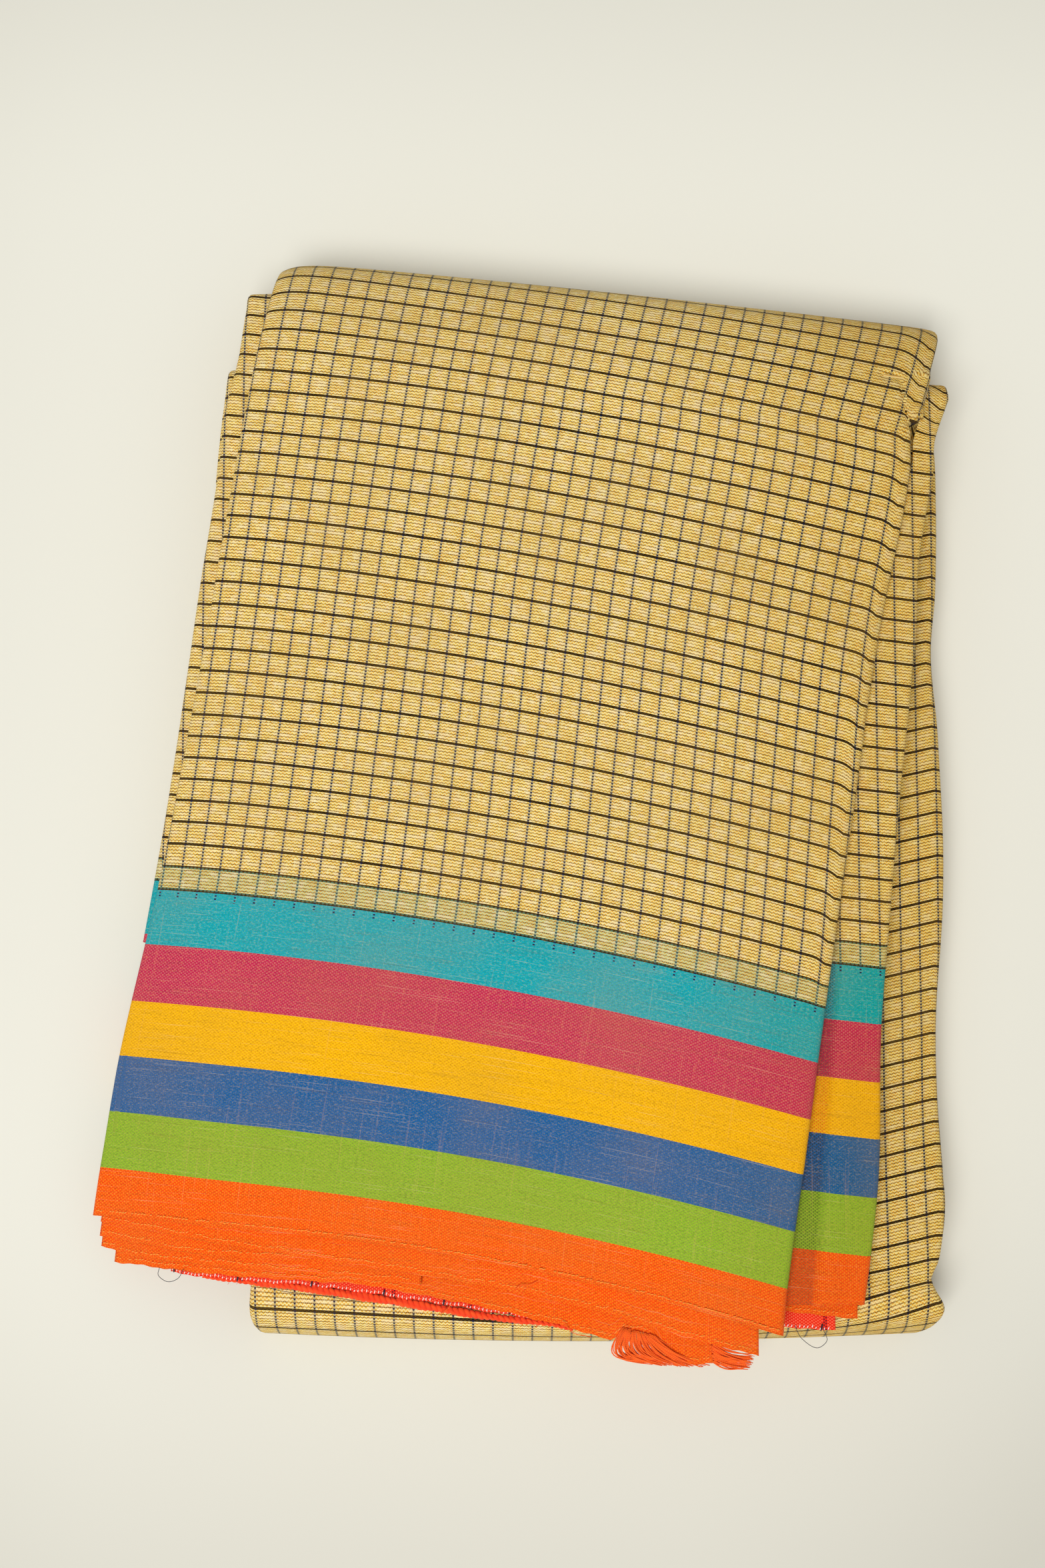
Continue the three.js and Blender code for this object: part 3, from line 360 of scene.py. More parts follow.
    def roll_point(self, across: Array, past: Array) -> Array:
        """A point of the front roll, from the table upwards.

        Args:
            across: shares of the width, 0 at the left and 1 at the right.
            past: distances gone since the bend began, in millimetres.

        Returns:
            Points of the outer face.
        """
        out, down = self.roll.at(past)
        y = self.roll_start(across) - out
        x = mix(self.edges("left", y), self.edges("right", y), across)
        return stack(x, y, down / self.roll.drop * self.lower_top(x, self.roll_line))

    def top_edge(self, across: float, y: Array) -> Array:
        """The x of the top stretch's left (0) or right (1) edge where y is known.

        Args:
            across: 0 for the left edge, 1 for the right.
            y: places along the pack, in millimetres.

        Returns:
            x of the edge.
        """
        along = np.linspace(0, float(self.bend_start(np.array(across))), 200)
        xs, ys = self.top_plan(np.array(across), along)
        x1, y1 = self.back_line("x", across), self.back_line("y", across)
        return np.interp(y, np.append(ys, y1), np.append(xs, x1))

    def upper_face(self, x: Array, y: Array) -> Array:
        """Height of the top stretch's face above a place on the plan, its bend included.

        Args:
            x: places across the pack, in millimetres.
            y: places along the pack, in millimetres.

        Returns:
            Heights in millimetres.
        """
        left, right = self.top_edge(0.0, y), self.top_edge(1.0, y)
        across = np.clip((x - left) / (right - left), 0, 1)
        start_y = self.top_plan(across, self.bend_start(across))[1]
        end_y = self.back_line("y", across) + 4 * across * (1 - across)
        out = self.back.reach * np.clip((y - start_y) / (end_y - start_y), 0, 1)
        top = int(np.argmax(self.back.out))
        down = np.interp(out, self.back.out[: top + 1], self.back.down[: top + 1])
        flat = self.upper_top(x, np.minimum(y, start_y))
        return flat * (1 - down / self.back.drop)


FORM = PackForm()


# ---------------------------------------------------------------- grids and meshes


@dataclass
class Grid:
    """A piece of cloth: rows of points in millimetres and the cloth's own place of each."""

    points: Array
    cloth: Array

    def normals(self) -> Array:
        """Outward normals: across each row crossed with along the columns.

        Returns:
            Directions of length one.
        """
        across = np.gradient(self.points, axis=1)
        along = np.gradient(self.points, axis=0)
        return unit(np.cross(across, along))

    def inside(self, depth: float) -> Array:
        """The same points moved inwards."""
        return self.points - self.normals() * depth


def new_object(
    name: str, points: Array, faces: Sequence[Array], cloth: Array, material: bpy.types.Material
) -> bpy.types.Object:
    """Makes a mesh object.

    Args:
        name: the object's name.
        points: corners in millimetres, in the part's frame before centring.
        faces: arrays of corner numbers, one row a face; quads and triangles in arrays of their own.
        cloth: the UV of each corner in millimetres.
        material: what it is made of.

    Returns:
        The object, at the origin, with smooth faces.
    """
    mesh = bpy.data.meshes.new(name)
    places = (points - CENTRE) * MM
    corners = np.concatenate([part.ravel() for part in faces]).astype(np.int32)
    sizes = np.concatenate([np.full(len(part), part.shape[1], np.int32) for part in faces])
    starts = np.concatenate([[0], np.cumsum(sizes)[:-1]]).astype(np.int32)
    mesh.vertices.add(len(places))
    mesh.vertices.foreach_set("co", places.astype(np.float32).ravel())
    mesh.loops.add(len(corners))
    mesh.loops.foreach_set("vertex_index", corners)
    mesh.polygons.add(len(sizes))
    mesh.polygons.foreach_set("loop_start", starts)
    mesh.polygons.foreach_set("loop_total", sizes)
    mesh.polygons.foreach_set("use_smooth", np.ones(len(sizes), dtype=bool))
    layer = mesh.uv_layers.new(name="cloth")
    layer.data.foreach_set("uv", cloth[corners].astype(np.float32).ravel())
    mesh.update(calc_edges=True)
    mesh.validate()
    mesh.materials.append(material)
    made = bpy.data.objects.new(name, mesh)
    bpy.context.scene.collection.objects.link(made)
    return made


def grid_faces(rows: int, columns: int, wrap_columns: bool = False) -> Array:
    """Quads of a grid whose points run row by row; wrapped columns close it into a tube.

    Args:
        rows: number of rows of points.
        columns: number of points in a row.
        wrap_columns: whether the last column joins the first.

    Returns:
        Corner numbers, four a face.
    """
    r = np.arange(rows - 1)[:, None]
    c = np.arange(columns if wrap_columns else columns - 1)[None, :]
    nxt = (c + 1) % columns
    quads = [r * columns + c, r * columns + nxt, (r + 1) * columns + nxt, (r + 1) * columns + c]
    return np.stack([np.broadcast_to(q, (rows - 1, c.shape[1])) for q in quads], axis=-1).reshape(-1, 4)


def shell(name: str, grid: Grid, thickness: float, material: bpy.types.Material) -> bpy.types.Object:
    """A closed thin shell: the grid outside, the same grid one thickness inside, and the rims.

    Args:
        name: the name it gets.
        grid: the outer face.
        thickness: of the cloth, in millimetres.
        material: what it is made of.

    Returns:
        The object.
    """
    rows, columns = grid.points.shape[:2]
    count = rows * columns
    outer = grid_faces(rows, columns)
    inner = outer[:, ::-1] + count
    number = np.arange(count).reshape(rows, columns)
    rim = np.concatenate([number[0, :], number[1:, -1], number[-1, -2::-1], number[-2:0:-1, 0]])
    nxt = np.roll(rim, -1)
    rims = np.stack([nxt, rim, rim + count, nxt + count], axis=-1)
    points = np.concatenate([grid.points.reshape(-1, 3), grid.inside(thickness).reshape(-1, 3)])
    cloth = np.tile(grid.cloth.reshape(-1, 2), (2, 1))
    return new_object(name, points, [outer, inner, rims], cloth, material)


@dataclass(frozen=True)
class SideFold:
    """Cloth turned under at a side: radius of the fold and how far it is tucked in."""

    radius: float
    tuck: float
    steps: int = 7


def with_folds(
    face: Face,
    cloth: Face,
    columns: Array,
    places: Array,
    width: float,
    left: Optional[SideFold],
    right: Optional[SideFold],
) -> Grid:
    """A face with its sides turned under.

    Each side fold is half a circle hung from the edge's outward normal, then a straight tuck.

    Args:
        face: gives points for shares across and places along.
        cloth: gives the cloth's own place for the same.
        columns: shares across, from 0 to 1.
        places: where its rows are.
        width: of the face, in millimetres.
        left, right: the folds, or None where the edge is plain.

    Returns:
        The whole grid.
    """
    low = left.radius / width if left else 0.0
    high = 1 - right.radius / width if right else 1.0
    shares = mix(low, high, columns)[None, :]
    rows = places[:, None]
    blocks = [face(shares, rows)]
    cloths = [cloth(shares, rows)]
    step = 0.004
    for side, at, inwards in ((left, low, 1.0), (right, high, -1.0)):
        if side is None:
            continue
        here = np.full((1, 1), at)
        edge = face(here, rows)
        across = unit(face(here + step * inwards, rows) - edge)
        sideways = face(here + step, rows) - face(here - step, rows)
        along = np.gradient(edge, axis=0)
        lift = unit(np.cross(sideways, along))
        angle = np.linspace(0, math.pi, side.steps + 1)[1:][None, :, None]
        centre = edge - lift * side.radius
        arc = centre - across * side.radius * np.sin(angle) + lift * side.radius * np.cos(angle)
        tucks = np.linspace(0, 1, 3)[1:][None, :, None] * side.tuck
        flat = edge - lift * 2 * side.radius + across * tucks
        block = np.concatenate([arc, flat], axis=1)
        gone = np.concatenate([side.radius * angle[..., 0], side.radius * math.pi + tucks[..., 0]], axis=1)
        place = cloth(here, rows) * np.ones((1, block.shape[1], 1))
        place[..., 0] -= inwards * gone
        if inwards > 0:
            blocks.insert(0, block[:, ::-1])
            cloths.insert(0, place[:, ::-1])
        else:
            blocks.append(block)
            cloths.append(place)
    return Grid(np.concatenate(blocks, axis=1), np.concatenate(cloths, axis=1))


def tube(path: Array, radius: Array, sides: int) -> tuple[Array, Array, Array]:
    """A round thread along a path, closed at both ends by a narrowing ring.

    Args:
        path: points, one a row.
        radius: at each point.
        sides: corners of its section.

    Returns:
        Points, quads and UVs, where u runs round in turns and v along in millimetres.
    """
    forward = unit(np.gradient(path, axis=0))
    side = unit(np.cross(np.array([0, 0, 1.0]), forward) + 1e-6)
    up = np.cross(forward, side)
    angle = np.linspace(0, 2 * math.pi, sides, endpoint=False)[None, :, None]
    outwards = side[:, None] * np.cos(angle) + up[:, None] * np.sin(angle)
    ring = path[:, None] + radius[:, None, None] * outwards
    faces = grid_faces(len(path), sides, wrap_columns=True)
    length = np.concatenate([[0], np.cumsum(np.linalg.norm(np.diff(path, axis=0), axis=1))])
    around = np.broadcast_to(np.arange(sides)[None, :] / sides, ring.shape[:2])
    cloth = np.stack([around, np.broadcast_to(length[:, None], ring.shape[:2])], axis=-1)
    i = np.arange(1, sides // 2)
    cap = np.stack([sides - i, sides - 1 - i, i, i - 1], axis=-1)
    last = (len(path) - 1) * sides
    return ring.reshape(-1, 3), np.concatenate([faces, cap, cap[:, ::-1] + last]), cloth.reshape(-1, 2)


def joined(
    name: str, pieces: Sequence[tuple[Array, Array, Array]], material: bpy.types.Material
) -> bpy.types.Object:
    """Many small meshes as one object.

    Args:
        name: the name it gets.
        pieces: points, faces and UVs of each.
        material: what it is made of.

    Returns:
        The object.
    """
    starts = np.cumsum([0] + [len(points) for points, _, _ in pieces[:-1]])
    points = np.concatenate([p for p, _, _ in pieces])
    faces = np.concatenate([f + start for (_, f, _), start in zip(pieces, starts)])
    cloth = np.concatenate([c for _, _, c in pieces])
    return new_object(name, points, [faces], cloth, material)


def smooth_path(points: Sequence[Sequence[float]], count: int) -> Array:
    """A smooth curve through points: a cubic in each coordinate, evenly spaced by length.

    Args:
        points: corners the curve goes through.
        count: how many points it gets.

    Returns:
        The points.
    """
    corners = np.array(points, float)
    gone = np.concatenate([[0], np.cumsum(np.linalg.norm(np.diff(corners, axis=0), axis=1))])
    names = "gone " + " ".join(f"c{i}" for i in range(corners.shape[1]))
    course = Course(names, np.column_stack([gone, corners]))
    at = np.linspace(0, gone[-1], count)
    return np.stack([course(f"c{i}", at) for i in range(corners.shape[1])], axis=-1)


# ---------------------------------------------------------------- materials


class Wire:
    """A socket that adds up like a number."""

    def __init__(self, nodes: "Shader", socket: bpy.types.NodeSocket) -> None:
        """Keeps the socket and the shader it belongs to."""
        self.nodes = nodes
        self.socket = socket

    def _math(self, operation: str, *values: "Wire | float") -> "Wire":
        """One Math node on these values."""
        return self.nodes.add("ShaderNodeMath", {"operation": operation}, values)

    def __add__(self, other: "Wire | float") -> "Wire":
        """self + other."""
        return self._math("ADD", self, other)

    __radd__ = __add__

    def __sub__(self, other: "Wire | float") -> "Wire":
        """self - other."""
        return self._math("SUBTRACT", self, other)

    def __rsub__(self, other: float) -> "Wire":
        """other - self."""
        return self._math("SUBTRACT", other, self)

    def __mul__(self, other: "Wire | float") -> "Wire":
        """self * other."""
        return self._math("MULTIPLY", self, other)

    __rmul__ = __mul__

    def __truediv__(self, other: "Wire | float") -> "Wire":
        """self / other."""
        return self._math("DIVIDE", self, other)

    def __gt__(self, other: "Wire | float") -> "Wire":
        """1 where self is greater, else 0."""
        return self._math("GREATER_THAN", self, other)

    def __lt__(self, other: "Wire | float") -> "Wire":
        """1 where self is less, else 0."""
        return self._math("LESS_THAN", self, other)

    def floor(self) -> "Wire":
        """Largest whole number below."""
        return self._math("FLOOR", self)

    def fract(self) -> "Wire":
        """What is left above the floor."""
        return self._math("FRACT", self)

    def absolute(self) -> "Wire":
        """Size without sign."""
        return self._math("ABSOLUTE", self)

    def modulo(self, other: float) -> "Wire":
        """Remainder, never negative."""
        return self._math("FLOORED_MODULO", self, other)

    def smooth(self, low: float, high: float) -> "Wire":
        """0 below low, 1 above high, and smooth between.

        Args:
            low: where it is still 0.
            high: where it reaches 1.

        Returns:
            The smoothed value.
        """
        return self.nodes.add(
            "ShaderNodeMapRange", {"interpolation_type": "SMOOTHSTEP"}, [self, low, high, 0.0, 1.0]
        )


class Shader:
    """A material under construction."""

    def __init__(self, name: str) -> None:
        """Starts a material with a Principled shader.

        Args:
            name: the name it gets.
        """
        self.material = bpy.data.materials.new(name)
        self.material.use_nodes = True
        self.tree = self.material.node_tree
        self.tree.nodes.clear()
        self.output = self.tree.nodes.new("ShaderNodeOutputMaterial")
        self.principled = self.tree.nodes.new("ShaderNodeBsdfPrincipled")
        self.tree.links.new(self.principled.outputs[0], self.output.inputs[0])

    def add(self, kind: str, settings: Optional[dict] = None, values: Sequence = (), output: int = 0) -> Wire:
        """Adds a node.

        Args:
            kind: the node's type.
            settings: its own settings, set first; "stops" are a ramp's (place, colour) pairs.
            values: for its inputs in order: wires, numbers, colours, or None to leave one.
            output: which of its outputs is returned.

        Returns:
            The wire from that output.
        """
        node = self.tree.nodes.new(kind)
        for key, value in (settings or {}).items():
            if key == "stops":
                ramp = node.color_ramp
                while len(ramp.elements) < len(value):
                    ramp.elements.new(1.0)
                for element, (place, colour) in zip(ramp.elements, value):
                    element.position = place
                    element.color = (*colour, 1.0)
            elif key == "ramp":
                node.color_ramp.interpolation = value
            else:
                setattr(node, key, value)
        inputs = [socket for socket in node.inputs if socket.enabled]
        for socket, value in zip(inputs, values):
            if isinstance(value, Wire):
                self.tree.links.new(value.socket, socket)
            elif value is not None:
                if isinstance(value, tuple) and len(value) == 3 and len(socket.default_value) == 4:
                    value = (*value, 1.0)
                socket.default_value = value
        outputs = [socket for socket in node.outputs if socket.enabled]
        return Wire(self, outputs[output])

    def blend(
        self, share: "Wire | float", low: "Wire | tuple", high: "Wire | tuple", mode: str = "MIX"
    ) -> Wire:
        """Two colours mixed."""
        return self.add("ShaderNodeMix", {"data_type": "RGBA", "blend_type": mode}, [share, low, high])

    def noise(self, place: Wire, scale: float, detail: float = 2.0, roughness: float = 0.5) -> Wire:
        """Smooth noise from 0 to 1."""
        return self.add("ShaderNodeTexNoise", {"noise_dimensions": "3D"}, [place, scale, detail, roughness])

    def place(self, x: "Wire | float", y: "Wire | float", z: "Wire | float" = 0.0) -> Wire:
        """A vector from three numbers."""
        return self.add("ShaderNodeCombineXYZ", None, [x, y, z])

    def cloth(self) -> tuple[Wire, Wire]:
        """The cloth's own place in millimetres: along the selvedge, and in from it.

        Returns:
            u and v.
        """
        uv = self.add("ShaderNodeUVMap", {"uv_map": "cloth"})
        u = self.add("ShaderNodeSeparateXYZ", None, [uv])
        v = self.add("ShaderNodeSeparateXYZ", None, [uv], output=1)
        return u, v

    def object_place(self) -> tuple[Wire, Wire]:
        """Where the point is in the part's frame, in millimetres: across and along.

        Returns:
            x and y.
        """
        found = self.add("ShaderNodeTexCoord", output=3)
        x = self.add("ShaderNodeSeparateXYZ", None, [found])
        y = self.add("ShaderNodeSeparateXYZ", None, [found], output=1)
        return x * 1000.0, y * 1000.0

    def bump(self, height: Wire, strength: float, distance: float) -> Wire:
        """A normal from a height in metres."""
        return self.add("ShaderNodeBump", None, [strength, distance, 1.0, height])

    def finish(self, **sockets: "Wire | float | tuple") -> bpy.types.Material:
        """Sets the Principled shader's sockets by name and returns the material.

        Args:
            sockets: names with underscores, and what each gets.

        Returns:
            The material.
        """
        for key, value in sockets.items():
            socket = self.principled.inputs[key.replace("_", " ").title().replace("Ior", "IOR")]
            if isinstance(value, Wire):
                self.tree.links.new(value.socket, socket)
            else:
                if isinstance(value, tuple) and len(value) == 3 and len(socket.default_value) == 4:
                    value = (*value, 1.0)
                socket.default_value = value
        return self.material


def shade(red: float, green: float, blue: float) -> tuple[float, float, float]:
    """A colour as seen on a screen, 0 to 255, turned into light.

    Args:
        red: its red.
        green: its green.
        blue: its blue.

    Returns:
        The same colour as light, each channel from 0 to 1.
    """

    def light(value: float) -> float:
        """One channel of the usual screen curve, undone."""
        c = value / 255
        return c / 12.92 if c <= 0.04045 else ((c + 0.055) / 1.055) ** 2.4

    return light(red), light(green), light(blue)


Colour = tuple[float, float, float]

COTTON = {"specular_ior_level": 0.12, "sheen_weight": 0.03, "sheen_roughness": 0.5}


@dataclass(frozen=True)
class Stripe:
    """One border stripe: where it starts from the selvedge, its warp and its weft's dots."""

    start: float
    warp: Colour
    weft: Colour


@dataclass(frozen=True)
class Weave:
    """Where a point lies in the weave, as wires.

    u and v are its place on the cloth, pick and end the numbers of its weft and warp yarns, and
    in_pick and in_end how far it lies from their middles. The rest are masks.
    """

    u: Wire
    v: Wire
    down: Wire
    pick: Wire
    end: Wire
    in_pick: Wire
    in_end: Wire
    over: Wire
    in_body: Wire
    black_pick: Wire
    black_end: Wire


@dataclass(frozen=True)
class Mark:
    """Unevenness of the yarns: stretched noise, the part of it that shows, and its colour."""

    along: float
    inwards: float
    seed: float
    low: float
    high: float
    share: float
    colour: Colour
    detail: float = 2.0
    roughness: float = 0.7

    def on(self, s: Shader, colour: Wire, w: Weave, where: "Wire | float") -> Wire:
        """The colour with this mark over it.

        Args:
            s: the shader under construction.
            colour: the colour so far.
            w: where the point lies in the weave.
            where: mask of the place it belongs to.

        Returns:
            The new colour.
        """
        place = s.place(w.u * self.along, w.v * self.inwards, self.seed)
        shows = s.noise(place, 1.0, self.detail, self.roughness).smooth(self.low, self.high)
        return s.blend(shows * where * self.share, colour, self.colour)


@dataclass(frozen=True)
class Handloom:
    """Plain-weave cotton: checks of paired black yarns, and a border of even stripes."""

    name: str = "handloom_check"
    # True paints shade on the cloth left of the second right fold's valley crease
    valley: bool = False
    border: float = 100.0
    check_u: float = 6.0
    check_v: float = 6.65
    picks: float = 10.0
    ends: float = 14.0
    ramp_length: float = 120.0
    stripes: tuple[Stripe, ...] = (
        Stripe(0.0, shade(250, 74, 0), shade(255, 122, 8)),
        Stripe(14.0, shade(146, 188, 42), shade(140, 160, 60)),
        Stripe(31.2, shade(0, 92, 162), shade(58, 104, 140)),
        Stripe(48.4, shade(255, 192, 0), shade(236, 162, 0)),
        Stripe(65.6, shade(200, 26, 80), shade(206, 98, 104)),
        Stripe(82.8, shade(0, 164, 186), shade(20, 170, 158)),
        Stripe(100.0, shade(255, 236, 160), shade(228, 176, 44)),
    )
    # painted shade: darker weft colours, stripe by stripe, for the shaded side of the valley
    valley_shade_colours: tuple[Colour, ...] = (
        shade(130, 50, 40),
        shade(60, 90, 30),
        shade(30, 30, 50),
        shade(230, 90, 20),
        shade(90, 30, 60),
        shade(30, 50, 90),
        shade(120, 90, 40),
    )
    black: Colour = shade(16, 12, 4)
    blue_black: Colour = shade(14, 20, 62)
    teal_tint: Colour = shade(112, 176, 150)
    border_marks: tuple[Mark, ...] = (
        Mark(1.1, 1.6, 21.0, 0.5, 0.66, 0.26, shade(40, 34, 24), roughness=0.8),
        Mark(1.1, 1.6, 21.0, 0.48, 0.34, 0.15, shade(240, 196, 90), roughness=0.8),
        Mark(0.03, 2.6, 9.0, 0.6, 0.72, 0.3, shade(90, 60, 24)),
        Mark(0.03, 2.6, 9.0, 0.4, 0.28, 0.2, shade(255, 226, 180)),
        Mark(1.4, 0.02, 4.0, 0.58, 0.75, 0.12, shade(255, 190, 130)),
    )
    seeds: Mark = Mark(0.42, 0.42, 12.0, 0.83, 0.86, 0.7, shade(110, 44, 10), 1.0, 0.5)

    def ramp(self, s: Shader, v: Wire, colours: Sequence[Colour]) -> Wire:
        """A colour for each stripe, without a blend between them.

        Args:
            s: the shader under construction.
            v: distance from the selvedge.
            colours: one for each stripe.

        Returns:
            The colour.
        """
        starts = [stripe.start / self.ramp_length for stripe in self.stripes]
        settings = {"ramp": "CONSTANT", "stops": list(zip(starts, colours))}
        return s.add("ShaderNodeValToRGB", settings, [v / self.ramp_length])

    def weave(self, s: Shader) -> Weave:
        """Cuts the cloth into cells, one for each crossing of an end and a pick.

        Slow noise lets the yarns waver. A cell shows its end or its pick in turn, as plain weave
        does. One pick in ten and a pair of ends in fourteen are black.

        Args:
            s: the shader under construction.

        Returns:
            The wires.
        """
        u, v = s.cloth()
        pitch_u, pitch_v = self.check_u / self.picks, self.check_v / self.ends
        wander = s.noise(s.place(u * 0.11, v * 0.9), 1.0, 2.0) - 0.5
        waver = s.noise(s.place(u * 0.30, v * 0.05, 8.0), 1.0, 2.0) - 0.5
        across = u / pitch_u + 0.5 + wander * 0.30
        down = (v - self.border) / pitch_v + waver * 0.35
        pick, end = across.floor(), down.floor()
        from_row = ((down / self.ends + 0.5).fract() - 0.5).absolute() * self.check_v
        return Weave(
            u=u,
            v=v,
            down=down,
            pick=pick,
            end=end,
            in_pick=(across.fract() - 0.5).absolute(),
            in_end=(down.fract() - 0.5).absolute(),
            over=((pick + end).modulo(2.0)) > 0.5,
            in_body=v > self.border,
            black_pick=(pick.modulo(self.picks) < 0.5) * (v > self.border - 3.0 * wander - 2.5),
            black_end=(1.0 - from_row.smooth(0.36, 0.46)) * (v > self.border - pitch_v),
        )

    def yarns(self, s: Shader, w: Weave) -> tuple[Wire, Wire]:
        """Colours of the warp and the weft: their stripe, uneven dye, and the checks' black.

        Where the weft is thick it is golden or pale. The first check next to the border takes some
        of the teal. In the valley, left of the crease, painted shade darkens the weft and the warp.

        Args:
            s: the shader under construction.
            w: where the point lies in the weave.

        Returns:
            Warp and weft.
        """
        warp = self.ramp(s, w.v, [stripe.warp for stripe in self.stripes])
        weft = self.ramp(s, w.v, [stripe.weft for stripe in self.stripes])
        slub = s.noise(s.place(w.pick * 0.37, w.v * 0.10), 1.0, 2.0, 0.6).smooth(0.42, 0.64)
        weft = s.blend(slub * w.in_body * 0.9, weft, shade(232, 160, 34))
        pale = s.noise(s.place(w.pick * 0.71, w.v * 0.35, 6.0), 1.0, 2.0, 0.6).smooth(0.55, 0.72)
        weft = s.blend(pale * w.in_body * 0.8, weft, shade(255, 240, 176))
        thick = s.noise(s.place(w.u * 0.05, w.end * 0.41), 1.0, 2.0, 0.6)
        warp = s.blend(thick.smooth(0.5, 0.8) * 0.24, warp, shade(120, 92, 40))
        beside = ((w.pick + 1.0).modulo(self.picks) < 2.5) * w.in_body
        warp = s.blend(beside * 0.16, warp, shade(90, 96, 110))
        warp = s.blend(w.black_pick * w.in_body * 0.42, warp, self.blue_black)
        warp = s.blend(w.black_end, warp, self.black)
        weft = s.blend(w.black_end * 0.95, weft, shade(60, 42, 6))
        weft = s.blend(w.black_pick, weft, self.blue_black)
        near = w.in_body * (1.0 - (w.v > self.border + self.check_v))
        warp = s.blend(near * 0.4, warp, self.teal_tint)
        weft = s.blend(near * 0.16 * (1.0 - w.black_end), weft, self.teal_tint)
        # painted shade: left of the valley crease the weft and warp are darkened as the shaded side
        if self.valley:
            x, y = s.object_place()
            inside = 1.0 - (x - (y * 0.0825 + 98.7)).smooth(-0.9, 0.5)
            weft = s.blend(inside * 0.7, weft, self.ramp(s, w.v, self.valley_shade_colours))
            warp = s.blend(inside * 0.16, warp, shade(70, 50, 30))
        return warp, weft

    def marks_and_painted_shade(self, s: Shader, w: Weave, colour: Wire) -> Wire:
        """Lays the marks and a painted shade over the woven colour.

        The border has streaks and specks. The body has pale and golden dashes, and thin dark lines
        between its pairs of ends, where the cloth is open. Seeds lie here and there. A painted shade
        makes the cloth darker and warmer towards the right, where the light falls off.

        Args:
            s: the shader under construction.
            w: where the point lies in the weave.
            colour: the colour so far.

        Returns:
            The new colour.
        """
        for mark in self.border_marks:
            colour = mark.on(s, colour, w, 1.0 - w.in_body)
        dash_place = s.place(w.u * 0.2, (w.down * 0.5).floor() * 0.77, 17.0)
        dashes = s.noise(dash_place, 1.0, 2.0, 0.6)
        bare = w.in_body * (1.0 - w.black_end) * (1.0 - w.black_pick)
        colour = s.blend(dashes.smooth(0.52, 0.64) * bare * 0.22, colour, shade(226, 164, 30))
        colour = s.blend(dashes.smooth(0.5, 0.38) * bare * 0.36, colour, shade(252, 238, 204))

        dent = ((w.down * 0.5).fract() - 0.5).absolute()
        fleck = s.noise(s.place(w.u * 0.8, w.v * 0.8, 3.0), 1.0, 3.0)
        between = w.in_pick.smooth(0.05, 0.42) * 0.5 + 0.5
        plain = w.in_body * (1.0 - w.black_end * 0.92) * (1.0 - w.black_pick * 0.85)
        hole = dent.smooth(0.22, 0.44) * between * plain * (fleck * 2.0 - 0.08)
        colour = s.blend(hole, colour, shade(118, 72, 12))
        fine_hole = w.in_end.smooth(0.34, 0.5) * w.in_pick.smooth(0.3, 0.5) * (1.0 - w.in_body)
        colour = s.blend(fine_hole * 0.45, colour, shade(50, 24, 10))

        faded = s.noise(s.place(w.u * 0.03, w.v * 0.03, 5.0), 1.0, 3.0)
        colour = s.blend((faded - 0.5) * 0.4 + 0.06, colour, shade(170, 130, 60))
        colour = self.seeds.on(s, colour, w, 1.0)
        # painted shade: the colour turns darker and warmer towards the right, where the light falls off
        painted_right_shade = s.blend(1.0, colour, shade(240, 232, 206), "MULTIPLY")
        return s.blend(s.object_place()[0].smooth(30.0, 135.0), colour, painted_right_shade)

    def build(self) -> bpy.types.Material:
        """Makes the material: the yarns' colours cell by cell, the marks and painted shade, and round yarns.

        Returns:
            The material.
        """
        s = Shader(self.name)
        w = self.weave(s)
        warp, weft = self.yarns(s, w)
        dot = 1.0 - w.in_pick.smooth(0.26, 0.46) * (1.0 - w.black_pick)
        colour = self.marks_and_painted_shade(s, w, s.blend(w.over * dot, warp, weft))
        round_end = 1.0 - w.in_end * w.in_end * 3.2
        round_pick = 1.0 - w.in_pick * w.in_pick * 3.2
        height = w.over * round_pick + (1.0 - w.over) * round_end
        normal = s.bump(height, 0.8, 0.00016)
        return s.finish(base_color=colour, roughness=0.86, normal=normal, **COTTON)


@dataclass(frozen=True)
class FarSelvedge:
    """The other border's last stripe: red warp with white dots and a black pick now and then."""

    name: str = "far_selvedge"

    def build(self) -> bpy.types.Material:
        """Makes the material, cell by cell like the handloom cloth.

        Returns:
            The material.
        """
        s = Shader(self.name)
        u, v = s.cloth()
        across, down = u / 0.6, v / 0.43
        pick, end = across.floor(), down.floor()
        in_pick, in_end = (across.fract() - 0.5).absolute(), (down.fract() - 0.5).absolute()
        over = ((pick + end).modulo(2.0)) > 0.5
        dark_pick = (pick.modulo(38.0)) < 1.5
        weft = s.blend(dark_pick, shade(246, 112, 74), shade(50, 34, 40))
        uneven = s.noise(s.place(u * 0.3, v * 0.9), 1.0, 2.0)
        warp = s.blend(uneven, shade(240, 44, 18), shade(214, 34, 22))
        colour = s.blend(over * (1.0 - in_pick.smooth(0.2, 0.42)), warp, weft)
        height = over * (1.0 - in_pick * in_pick * 3.0) + (1.0 - over) * (1.0 - in_end * in_end * 3.0)
        normal = s.bump(height, 0.5, 0.00012)
        return s.finish(base_color=colour, roughness=0.88, normal=normal, **COTTON)


